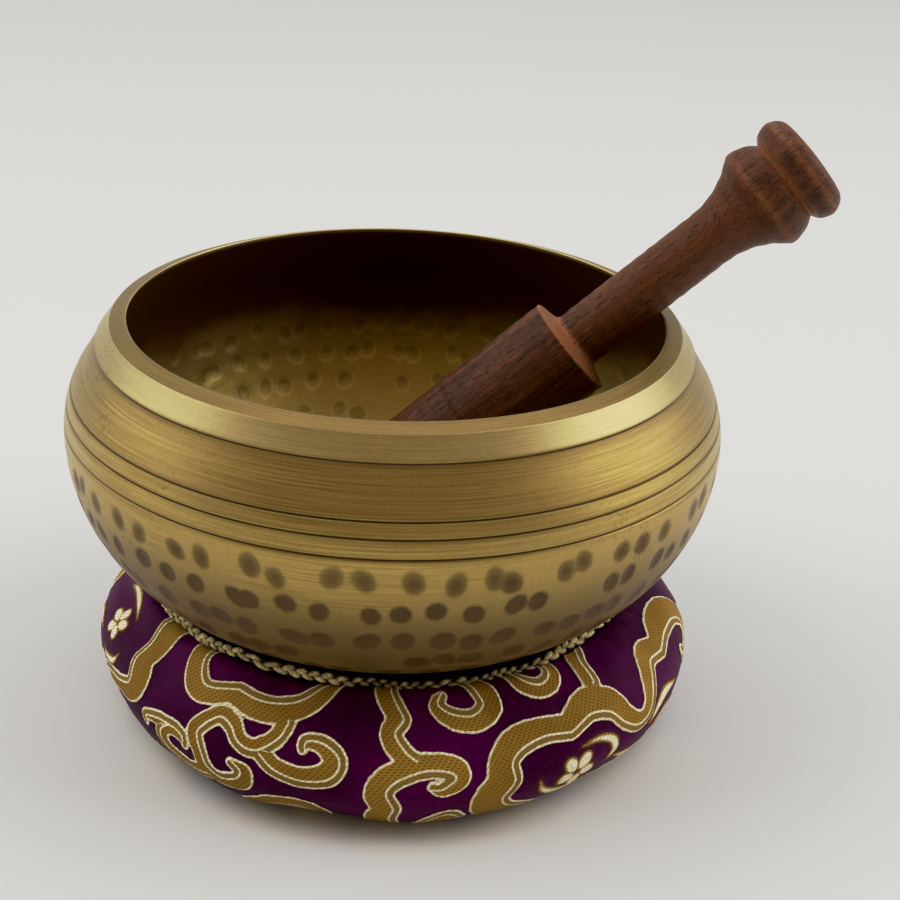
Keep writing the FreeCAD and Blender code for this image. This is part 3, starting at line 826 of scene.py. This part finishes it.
def add_stroke(fields, x, y, lobes, side, over=0.0, reach=6.0):
    """Lay one stroke and its repeats round the ring; it covers what it overlaps where over is above 0."""
    path = np.vstack([spline(lobe) for lobe in lobes])
    turn = REPEAT_DEG * MM_PER_DEG
    low, high = path.min(0), path.max(0)
    for shift in (-turn, 0.0, turn, 2 * turn):
        near = ((x - shift > low[0] - reach) & (x - shift < high[0] + reach)
                & (y > low[1] - reach) & (y < high[1] + reach))
        if not near.any():
            continue
        edge, across, width = nearest_on_path(x[near] - shift, y[near], path)
        closer = (edge < fields["edge"][near]) | ((edge < over) & (over > 0))
        index = np.flatnonzero(near)[closer]
        fields["edge"][index] = edge[closer]
        fields["strand"][index] = width[closer] - side * across[closer]


def brocade_fields(x, y):
    """Distance to the clouds' edge, to their rim along one side, and to the petals' edge, in millimetres."""
    fields = {key: np.full(x.shape, FAR) for key in ("edge", "strand", "petal")}
    for side, lobes in CLOUD_STROKES:
        add_stroke(fields, x, y, lobes, side)
    petal = {"edge": fields["petal"], "strand": np.zeros(x.shape)}
    for points in BLOSSOM_STROKES:
        add_stroke(petal, x, y, [points], 1)
    for flower in FLOWERS:
        for points in petals(*flower):
            add_stroke(petal, x, y, [points], 1, over=0.2)
    return fields


# ---------------------------------------------------------------------------
# Ring cushion
# ---------------------------------------------------------------------------
def cover_outline():
    tread = SIDE_RADIUS - SIDE_HEIGHT
    return [line((LAP_RADIUS, 0), (tread, 0)),
            arc_between((tread, 0), (SIDE_RADIUS, SIDE_HEIGHT), SIDE_HEIGHT, -1),
            arc_between((SIDE_RADIUS, SIDE_HEIGHT), (CROWN_RADIUS, CROWN_HEIGHT), CROWN_ARC, -1)]


def lining_outline():
    seat = BELLY_ARC + SEAT_GAP

    def seat_point(radius):
        return (radius, BELLY_HEIGHT - math.sqrt(seat ** 2 - (radius - BELLY_CENTRE) ** 2))

    outer, inner = seat_point(SEAT_OUTER_RADIUS), seat_point(HOLE_RADIUS + HOLE_ROUNDING)
    wall_top = (HOLE_RADIUS, inner[1] - HOLE_ROUNDING)
    return [line((CROWN_RADIUS, CROWN_HEIGHT), outer),
            arc_between(outer, inner, seat, 1),
            arc_between(inner, wall_top, HOLE_ROUNDING, -1),
            line(wall_top, (HOLE_RADIUS, HOLE_ROUNDING)),
            arc_between((HOLE_RADIUS, HOLE_ROUNDING), (HOLE_RADIUS + HOLE_ROUNDING, 0), HOLE_ROUNDING, -1),
            line((HOLE_RADIUS + HOLE_ROUNDING, 0), (LAP_RADIUS, 0))]


# how far the stuffed side swells past its drawn outline, in millimetres, at degrees round the ring
SIDE_SWELLS = [(0, -0.2), (20, -0.8), (60, -1.0), (100, -0.8), (140, -1.0), (175, -2.6), (195, -3.4),
               (210, -3.2), (228, -0.6), (245, 1.5), (262, 1.6), (280, 0.9), (300, 0.5), (320, 0.9),
               (340, 0.4)]
# stretches of the crown seam: middle, and where they fade and are full, in degrees round the ring
TUCKED = (283.0, 29.0, 18.0)
NESTLED = (224.0, 52.0, 32.0)


def stretch(angles, middle, fade, full):
    """1 within full degrees of a stretch's middle, 0 beyond fade."""
    away = np.abs((np.degrees(angles) - middle + 180.0) % 360.0 - 180.0)
    return smooth(away, fade, full)


def tucked(angles):
    """1 where the cloth has risen over the cord at the front, 0 elsewhere."""
    return stretch(angles, *TUCKED)


def nestled(angles):
    """1 where the cord has worked its way up under the bowl at the front left, 0 elsewhere."""
    return stretch(angles, *NESTLED)


class Ring:
    """The stuffed ring's skin: the cover's run comes first, from lap to crown seam, then the lining's."""

    CAGE_COLUMNS = 132
    CAGE_ROWS = 40
    FRAMES = 20
    CAP = 2.6
    CLOTH_SETTINGS = {
        "quality": 6, "mass": 0.15, "tension_stiffness": 12, "compression_stiffness": 6,
        "bending_stiffness": 0.6, "shrink_min": -0.012, "use_pressure": True,
        "uniform_pressure_force": 4.0, "vertex_group_mass": "held"}

    def __init__(self):
        self.section = Section(*cover_outline(), *lining_outline())
        self.crown_run = Section(*cover_outline()).length
        self.move = None

    def free(self, runs):
        """How free the cloth is to move: 0 at both seams and on the floor, the seat and in the hole."""
        from_crown = self.crown_run - runs
        return smooth(from_crown, 0.5, 11) * smooth(runs, 14.0, 27.0)

    def lumps(self, runs, angles):
        """Hand-stuffed unevenness: long flats and swellings round the side."""
        along = ripple(angles, ((2, 0.55), (3, 0.5), (5, 0.55), (8, 0.35), (13, 0.22)), SEED + 11)
        puckers = ripple(angles, ((41, 0.10), (57, 0.10), (73, 0.08)), SEED + 12)
        near_crown = np.exp(-((self.crown_run - runs - 3.0) / 3.2) ** 2)
        low = smooth(self.crown_run - runs, 22, 34)[:, None]
        sag = ripple(angles, ((4, 0.5), (7, 0.55), (11, 0.4)), SEED + 13)[None, :]
        spots = np.radians([spot for spot, _ in SIDE_SWELLS])
        heights = np.array([swell for _, swell in SIDE_SWELLS])
        shape = np.interp(angles, spots, heights, period=2 * math.pi)
        swell = self.free(runs)[:, None] * (0.6 * along[None, :] + shape[None, :] + 0.6 * low * sag)
        risen = 0.4 + 1.1 * tucked(angles) + 0.9 * nestled(angles)
        return swell + near_crown[:, None] * (np.minimum(puckers, 0) + risen)[None, :]

    def relax(self):
        """Blow the cloth up against its seams, and keep how far each point of the cage moved."""
        runs = np.linspace(0, self.section.length, self.CAGE_ROWS, endpoint=False)
        angles = around(self.CAGE_COLUMNS)
        radius, height, _, _ = self.section.at(runs)
        grid = turn_points(radius[:, None], height[:, None], angles)
        mesh = mesh_from_grid("cushion_cage", grid, wrap_rows=True)
        cage = bpy.data.objects.new("cushion_cage", mesh)
        bpy.context.scene.collection.objects.link(cage)
        held = cage.vertex_groups.new(name="held")
        weight = 1 - self.free(runs)
        for row, value in enumerate(weight):
            first = row * self.CAGE_COLUMNS
            held.add(list(range(first, first + self.CAGE_COLUMNS)), float(value), "REPLACE")
        cloth = cage.modifiers.new("cloth", "CLOTH")
        for name, value in self.CLOTH_SETTINGS.items():
            setattr(cloth.settings, name, value)
        cloth.settings.effector_weights.gravity = 0.0
        cloth.collision_settings.use_collision = False
        cloth.point_cache.frame_start = 1
        cloth.point_cache.frame_end = self.FRAMES
        scene = bpy.context.scene
        for number in range(1, self.FRAMES + 1):
            scene.frame_set(number)
        view = cage.evaluated_get(bpy.context.evaluated_depsgraph_get())
        moved = np.empty(len(view.data.vertices) * 3, np.float32)
        view.data.vertices.foreach_get("co", moved)
        moved = moved.reshape(grid.shape) / MM - grid
        scene.frame_set(1)
        bpy.data.objects.remove(cage)
        outward = moved[..., 0] * np.cos(angles) + moved[..., 1] * np.sin(angles)
        size = np.maximum(np.hypot(outward, moved[..., 2]), 1e-6)
        cap = self.CAP * np.tanh(size / self.CAP) / size
        move = np.stack([outward, moved[..., 2]], axis=-1) * cap[..., None]
        for _ in range(3):
            for axis in (0, 1):
                move = (2 * move + np.roll(move, 1, axis=axis) + np.roll(move, -1, axis=axis)) / 4
        self.move = move

    def moved(self, runs, angles):
        """The cage's movement (outwards, upwards) at any runs and angles."""
        if self.move is None:
            return np.zeros((2, len(runs), len(angles)))
        rows = runs / self.section.length * self.CAGE_ROWS
        columns = angles / (2 * math.pi) * self.CAGE_COLUMNS
        low_row, low_column = np.floor(rows).astype(int), np.floor(columns).astype(int)
        row_part = rows - low_row
        column_part = columns - low_column
        row_part = (row_part * row_part * (3 - 2 * row_part))[:, None, None]
        column_part = (column_part * column_part * (3 - 2 * column_part))[None, :, None]

        def corner(row, column):
            return self.move[np.ix_(row % self.CAGE_ROWS, column % self.CAGE_COLUMNS)]

        def across(row):
            return (corner(row, low_column) * (1 - column_part)
                    + corner(row, low_column + 1) * column_part)

        both = across(low_row) * (1 - row_part) + across(low_row + 1) * row_part
        return both[..., 0], both[..., 1]

    def skin(self, runs, angles, depth):
        """Points of the skin, depth below its face; depth is one number per row or per point."""
        radius, height, normal_r, normal_z = self.section.at(runs)
        outward, upward = self.moved(runs, angles)
        depth = np.broadcast_to(depth if np.ndim(depth) == 2 else np.reshape(depth, (-1, 1)),
                                (len(runs), len(angles)))
        depth = depth - self.lumps(runs, angles)
        radius = radius[:, None] + outward + normal_r[:, None] * depth
        height = height[:, None] + upward + normal_z[:, None] * depth
        return turn_points(radius, np.clip(height, 0.0, None), angles)


def make_cover(ring):
    angles = around(880)
    outer = stations((0, 16, 3.2), (16, ring.crown_run, 0.62))
    inner = np.linspace(ring.crown_run, 0, 14)[1:-1]
    runs = np.concatenate([outer, inner])
    below = np.tile((ring.crown_run - runs)[:, None], (1, len(angles)))
    around_mm = np.degrees(angles)
    around_mm = np.where(around_mm > 180, around_mm - 360, around_mm) * MM_PER_DEG
    across = np.tile(around_mm[None, :], (len(runs), 1))
    face = np.zeros(below.shape, bool)
    face[:len(outer)] = True
    fields = brocade_fields(across[face], below[face])
    values = {}
    for key, field in fields.items():
        full = np.full(below.shape, FAR)
        full[face] = field
        values[key] = np.clip(full, -9, 9)
    gold = smooth(-values["edge"], -0.35, 0.35)
    cream = np.exp(-(values["edge"] / 0.42) ** 2)
    twin = np.exp(-((values["strand"] - STRAND_OFFSET) / 0.4) ** 2) * gold
    petal = smooth(-values["petal"], -0.25, 0.3)
    raised = 0.20 * gold + 0.20 * cream + 0.14 * twin + 0.28 * petal
    depth = np.where(face, 0.30 - raised, CLOTH)
    grid = ring.skin(runs, angles, depth)
    mesh = mesh_from_grid("cushion_cover_cloth", grid, wrap_rows=True)
    attributes = {"edge": values["edge"], "strand": values["strand"], "petal": values["petal"],
                  "below": below}
    cover = add_object("cushion_cover_cloth", mesh, brocade_material(), attributes)
    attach(cover, "cushion")
    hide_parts("cushion_cover")


def brocade_material():
    """Purple satin ground with raised gold clouds, outlined in cream thread, and pale blossoms."""
    s = Shader("brocade")
    edge, strand, petal = s.attribute("edge"), s.attribute("strand"), s.attribute("petal")
    below = s.attribute("below")
    x, y, _ = s.split(s.place())
    angle = s.math("ARCTAN2", y, x)
    wobble = s.noise(s.place(), 480.0, 2.0, 0.5)
    fine = s.noise(s.place(), 1500.0, 2.0, 0.5)
    broad = s.noise(s.place(), 42.0, 3.0, 0.55)
    edge = s.add(edge, s.scale(wobble, -0.28, 0.28))
    gold = s.step(edge, 0.10, -0.12)
    outline = s.step(s.math("ABSOLUTE", edge), 0.33, 0.20)
    twin = s.times(gold, s.step(s.math("ABSOLUTE", s.add(strand, -STRAND_OFFSET)), 0.32, 0.18))
    strip = s.times(gold, s.step(strand, STRAND_OFFSET + 0.1, STRAND_OFFSET - 0.1))
    cream = s.math("MAXIMUM", outline, twin)
    blossom = s.step(petal, 0.08, -0.12)

    # picks of the gold weave lie like bricks, each row shifted by half a thread
    row = s.times(below, 1 / 0.60)
    shift = s.times(s.math("FLOOR", s.add(row, 0.5)), 0.36)
    shift = s.add(shift, s.scale(wobble, -0.22, 0.22))
    pick = s.math("SINE", s.times(s.add(s.times(angle, 330 / (2 * math.pi)), shift), 2 * math.pi))
    gap = s.math("ABSOLUTE", s.math("COSINE", s.times(row, math.pi)))
    dash = s.times(s.step(gap, 0.62, 0.92), s.step(pick, -0.45, 0.15))
    weave = s.scale(dash, 1.0, 0.0)
    ticks = s.math("SINE", s.add(s.times(below, 4.6), s.times(angle, 330.0)))
    tick = s.step(ticks, 0.45, 0.95)
    satin = s.math("SINE", s.times(angle, 1650.0))

    ground = s.mix(s.step(broad, 0.35, 0.68), (0.033, 0.0004, 0.021), (0.078, 0.0018, 0.055))
    ground = s.mix(s.times(s.step(fine, 0.5, 0.75), 0.4), ground, (0.115, 0.007, 0.085))
    gold_thread = s.mix(s.step(broad, 0.3, 0.7), (0.262, 0.144, 0.022), (0.375, 0.225, 0.040))
    gold_thread = s.mix(s.times(dash, 0.70), gold_thread, (0.085, 0.042, 0.007))
    gold_thread = s.mix(s.times(strip, 0.6), gold_thread, (0.235, 0.155, 0.050))
    pale = s.mix(s.step(fine, 0.40, 0.66), (0.80, 0.73, 0.47), (1.0, 0.97, 0.78))
    pale = s.mix(s.times(tick, 0.50), pale, (0.30, 0.205, 0.08))
    colour = s.mix(gold, ground, gold_thread)
    colour = s.mix(cream, colour, pale)
    petal_rim = s.step(petal, -0.75, -0.35)
    halo = s.step(petal, 1.1, 0.1)
    colour = s.mix(s.times(halo, 0.55), colour, (0.060, 0.026, 0.010))
    colour = s.mix(blossom, colour, s.mix(petal_rim, pale, gold_thread))

    thread = s.math("MAXIMUM", gold, s.math("MAXIMUM", cream, blossom))
    rough = s.scale(thread, 0.43, 0.50)
    rough = s.add(rough, s.scale(fine, -0.05, 0.05))
    relief = s.add(s.times(s.times(gold, weave), 1.5), s.times(cream, 1.0))
    relief = s.add(relief, s.times(s.times(cream, tick), -0.7))
    relief = s.add(relief, s.times(satin, 0.08))
    relief = s.add(relief, s.times(fine, 0.35))
    normal = s.bump(relief, 0.00011, 0.75)
    return s.finish_with(Base_Color=colour, Roughness=rough, Normal=normal, IOR=1.12)


def make_lining(ring):
    angles = around(360)
    outer = stations((ring.crown_run, ring.section.length, 0.9))
    inner = np.linspace(ring.section.length, ring.crown_run, 12)[1:-1]
    runs = np.concatenate([outer, inner])
    gather = np.abs(ripple(angles, ((36, 0.5), (53, 0.35), (22, 0.3)), SEED + 21))
    pull = 0.25 + 0.55 * gather
    past = runs - ring.crown_run
    freedom = smooth(past, 1, 6) * smooth(ring.section.length - runs, 1, 6)
    depth = 0.06 + freedom[:, None] * pull[None, :] * 0.8
    depth[len(outer):] += CLOTH
    grid = ring.skin(runs, angles, depth)
    mesh = mesh_from_grid("cushion_lining_cloth", grid, wrap_rows=True)
    fold = np.broadcast_to(gather[None, :] * freedom[:, None], depth.shape)
    lining = add_object("cushion_lining_cloth", mesh, lining_material(), {"fold": fold})
    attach(lining, "cushion")
    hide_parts("cushion_lining")


def lining_material():
    """Plain purple cotton satin, paler on its gathers."""
    s = Shader("lining")
    fold = s.attribute("fold")
    fine = s.noise(s.place(), 1500.0, 2.0, 0.5)
    broad = s.noise(s.place(), 60.0, 3.0, 0.55)
    x, y, z = s.split(s.place())
    warp = s.math("SINE", s.times(s.math("ARCTAN2", y, x), 620.0))
    weft = s.math("SINE", s.times(z, 9000.0))
    colour = s.mix(s.step(broad, 0.35, 0.68), (0.040, 0.0008, 0.029), (0.074, 0.0028, 0.058))
    colour = s.mix(s.times(s.step(fold, 0.1, 0.9), 0.4), colour, (0.105, 0.016, 0.070))
    rough = s.scale(fine, 0.5, 0.72)
    relief = s.add(s.times(s.times(warp, weft), 0.5), fine)
    normal = s.bump(relief, 0.00008, 0.7)
    return s.finish_with(Base_Color=colour, Roughness=rough, Normal=normal, IOR=1.15,
                         Sheen_Weight=0.05, Sheen_Roughness=0.4, Sheen_Tint=(0.75, 0.35, 0.62))


def make_stuffing(ring):
    angles = around(180)
    runs = np.linspace(0, ring.section.length, 80, endpoint=False)
    lumps = ripple(angles, ((9, 0.3), (17, 0.3), (29, 0.25)), SEED + 31)[None, :]
    bands = np.sin(runs[:, None] * 0.33 + 2.0 * np.sin(3 * angles)[None, :])
    depth = 2.6 + np.clip(lumps + 0.45 * bands, -0.9, 1.4)
    mesh = mesh_from_grid("cushion_filling", ring.skin(runs, angles, depth), wrap_rows=True)
    tuft = np.broadcast_to(lumps + 0.4 * bands, depth.shape)
    filling = add_object("cushion_filling", mesh, stuffing_material(), {"tuft": tuft})
    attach(filling, "cushion")
    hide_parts("cushion_stuffing")


def stuffing_material():
    """Off-white fibre, matted into tufts."""
    s = Shader("stuffing")
    tuft = s.attribute("tuft")
    strands = s.noise(s.place(), 260.0, 5.0, 0.7, 1.6)
    colour = s.mix(s.step(strands, 0.3, 0.7), (0.52, 0.49, 0.43), (0.80, 0.78, 0.72))
    colour = s.mix(s.times(s.step(tuft, 0.2, 1.0), 0.4), colour, (0.60, 0.56, 0.48))
    normal = s.bump(strands, 0.0006, 0.9)
    rough = s.scale(strands, 0.85, 1.0)
    return s.finish_with(Base_Color=colour, Roughness=rough, Normal=normal)


def make_trim_cord():
    """A three-strand plait that hides the crown seam."""
    periods, samples, sides = 40, 16, 10
    width, thick, strand_radius = 0.68, 0.50, 0.54
    lean_r, lean_z = -0.5, 0.866
    turns = np.linspace(0, 2 * math.pi, periods * samples, endpoint=False)
    corner = np.linspace(0, 2 * math.pi, sides, endpoint=False)
    stray = 0.12 + ripple(turns, ((7, 0.12), (13, 0.14), (23, 0.12), (37, 0.08)), SEED + 41)
    uneven = ripple(turns, ((5, 0.8), (9, 0.7), (17, 0.5)), SEED + 42)
    fat = 1 + ripple(turns, ((11, 0.08), (29, 0.09), (47, 0.07)), SEED + 43)
    tuck, nestle = tucked(turns), nestled(turns)
    middle_radius = TRIM_RING_RADIUS - 0.1 - 1.2 * tuck + 1.75 * nestle
    middle_height = TRIM_RING_HEIGHT + 0.45 - 1.5 * tuck + 1.35 * nestle
    verts, faces, lifts = [], [], []
    for number in range(3):
        phase = periods * turns + uneven + number * 2 * math.pi / 3
        wide = width * np.sin(phase)
        deep = thick * np.sin(2 * phase)
        radius = middle_radius + wide * lean_r + deep * lean_z + stray
        height = middle_height + wide * lean_z - deep * lean_r - 1.2 * stray
        path = np.stack([radius * np.cos(turns), radius * np.sin(turns), height], axis=-1)
        ahead = np.roll(path, -1, axis=0) - np.roll(path, 1, axis=0)
        ahead /= np.linalg.norm(ahead, axis=1)[:, None]
        out = np.stack([np.cos(turns), np.sin(turns), np.zeros(len(turns))], axis=-1)
        side = np.cross(ahead, out)
        side /= np.linalg.norm(side, axis=1)[:, None]
        up = np.cross(side, ahead)
        lump = fat + 0.20 * np.sin(2 * phase)
        ridge = lump[:, None] + 0.05 * np.sin(3 * corner[None, :] + 2.6 * phase[:, None])
        spoke = (side[:, None, :] * np.cos(corner)[None, :, None]
                 + up[:, None, :] * np.sin(corner)[None, :, None])
        ring = path[:, None, :] + strand_radius * ridge[..., None] * spoke
        index = np.arange(len(turns) * sides).reshape(len(turns), sides) + number * len(turns) * sides
        verts.append(ring.reshape(-1, 3))
        # lift is low between the strands, on their inner sides and where the cloth tucks over the cord; the
        # cord's shader paints shade there
        lift = (0.9 * deep / thick - 0.45 * tuck)[:, None] + 0.5 * np.sin(corner)[None, :]
        lifts.append(lift.reshape(-1))
        nxt = np.roll(index, -1, axis=0)
        quads = np.stack([index, nxt, np.roll(nxt, -1, axis=1), np.roll(index, -1, axis=1)], axis=-1)
        faces.append(quads.reshape(-1, 4))
    mesh = bpy.data.meshes.new("trim_cord_plait")
    mesh.from_pydata((np.vstack(verts) * MM).tolist(), [], np.vstack(faces).tolist())
    mesh.polygons.foreach_set("use_smooth", np.ones(len(mesh.polygons), bool))
    cord = add_object("trim_cord_plait", mesh, cord_material(), {"lift": np.concatenate(lifts)})
    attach(cord, "cushion")
    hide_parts("trim_cord")


def cord_material():
    """Pale gold yarn, with painted shade between the strands, on their inner sides, where the cloth rises
    over the cord, and on some strands here and there.
    """
    s = Shader("gold_cord")
    lift = s.attribute("lift")
    x, y, z = s.split(s.place())
    angle = s.math("ARCTAN2", y, x)
    fine = s.noise(s.place(), 1700.0, 3.0, 0.6)
    broad = s.noise(s.place(), 420.0, 2.0, 0.5)
    twist = s.math("SINE", s.add(s.times(angle, 760.0), s.times(z, 5200.0)))
    colour = s.mix(s.step(fine, 0.35, 0.68), (0.34, 0.265, 0.085), (0.90, 0.80, 0.42))
    # painted shade: some strands darker here and there, as if in shadow
    colour = s.mix(s.times(s.step(broad, 0.56, 0.40), 0.62), colour, (0.150, 0.105, 0.028))
    colour = s.mix(s.times(s.step(twist, 0.2, 1.0), 0.35), colour, (0.98, 0.90, 0.58))
    # painted shade where lift is low: between the strands, on their inner sides and under the tucked cloth
    colour = s.mix(s.step(lift, 1.05, 0.10), colour, (0.022, 0.012, 0.003))
    rough = s.scale(fine, 0.38, 0.6)
    normal = s.bump(s.add(s.times(twist, 0.5), fine), 0.00012, 0.8)
    return s.finish_with(Base_Color=colour, Roughness=rough, Normal=normal, Sheen_Weight=0.08,
                         Sheen_Roughness=0.35, Sheen_Tint=(1.0, 0.9, 0.65), Specular_IOR_Level=0.4)


# ---------------------------------------------------------------------------
# Stage
# ---------------------------------------------------------------------------
def make_floor():
    size = 6.0
    mesh = bpy.data.meshes.new("floor")
    corners = [(-size, -size, 0), (size, -size, 0), (size, size, 0), (-size, size, 0)]
    mesh.from_pydata(corners, [], [(0, 1, 2, 3)])
    floor = bpy.data.objects.new("floor", mesh)
    bpy.context.scene.collection.objects.link(floor)
    s = Shader("floor")
    tone = s.mix(s.noise(s.place(), 2.2, 2.0), (0.625, 0.625, 0.615), (0.655, 0.655, 0.645))
    mesh.materials.append(s.finish_with(Base_Color=tone, Roughness=0.62, Specular_IOR_Level=0.3))


def area_light(name, place, aim, size, power, glossy=True):
    light = bpy.data.lights.new(name, "AREA")
    light.shape = "RECTANGLE"
    light.size, light.size_y = size
    light.energy = power
    lamp = bpy.data.objects.new(name, light)
    lamp.location = place
    lamp.visible_glossy = glossy
    lamp.rotation_euler = (Vector(aim) - Vector(place)).to_track_quat("-Z", "Y").to_euler()
    bpy.context.scene.collection.objects.link(lamp)


def light_stage():
    """A pale room, warm and dim towards the camera, with softboxes and two lights that cast no glints."""
    world = bpy.data.worlds.new("studio")
    bpy.context.scene.world = world
    world.use_nodes = True
    s = Nodes(world.node_tree)
    direction = s.split(s.nodes.new("ShaderNodeTexCoord").outputs["Generated"])
    tone = s.mix(s.step(direction["Y"], -0.80, 0.12), (0.300, 0.215, 0.115), (0.57, 0.57, 0.56))
    s.set(s.nodes["Background"].inputs["Color"], tone)
    centre = (0.0, 0.0, 0.06)
    area_light("softbox_left", (-2.0, 0.24, 1.18), centre, (1.8, 1.6), 7.1)
    area_light("softbox_right", (1.96, 0.06, 0.98), centre, (1.8, 1.6), 12.6)
    area_light("softbox_top", (0.0, 0.5, 1.3), centre, (1.3, 0.8), 3.2)
    area_light("fill_left", (-0.80, -0.02, 1.05), centre, (0.9, 0.9), 6.9, glossy=False)
    area_light("fill_right", (0.85, 0.02, 1.00), centre, (0.9, 0.9), 5.3, glossy=False)


def make_camera():
    eye = Vector((0.0, -0.40696, 0.25248))
    aim = Vector((0.0, 0.0, RIM_HEIGHT * MM))
    forward = (aim - eye).normalized()
    right = Vector((1.0, 0.0, 0.0))
    up = right.cross(forward)
    pan, tilt, roll = -0.0314, -0.0758, math.radians(-1.80)
    turn = Matrix.Rotation(pan, 3, up)
    forward, right = turn @ forward, turn @ right
    turn = Matrix.Rotation(tilt, 3, right)
    forward, up = turn @ forward, turn @ up
    turn = Matrix.Rotation(roll, 3, forward)
    right, up = turn @ right, turn @ up
    camera_data = bpy.data.cameras.new("camera")
    camera_data.lens = 72.0
    camera_data.sensor_width = 36.0
    camera = bpy.data.objects.new("camera", camera_data)
    camera.matrix_world = Matrix.Translation(eye) @ Matrix((right, up, -forward)).transposed().to_4x4()
    bpy.context.scene.collection.objects.link(camera)
    bpy.context.scene.camera = camera


def set_response():
    """A camera's response: deep blacks, a lifted middle and a soft shoulder."""
    view = bpy.context.scene.view_settings
    view.view_transform = "Standard"
    view.use_curve_mapping = True
    view.curve_mapping.black_level = (0.0028, 0.0028, 0.0028)
    curve = view.curve_mapping.curves[3].points
    curve[-1].location = (1.0, 0.86)
    for before, after in ((0.20, 0.20), (0.45, 0.50), (0.65, 0.645)):
        curve.new(before, after)
    view.curve_mapping.update()


def main():
    set_response()
    make_camera()
    light_stage()
    make_floor()
    make_bowl()
    make_mallet()
    ring = Ring()
    ring.relax()
    make_cover(ring)
    make_lining(ring)
    make_stuffing(ring)
    make_trim_cord()


main()
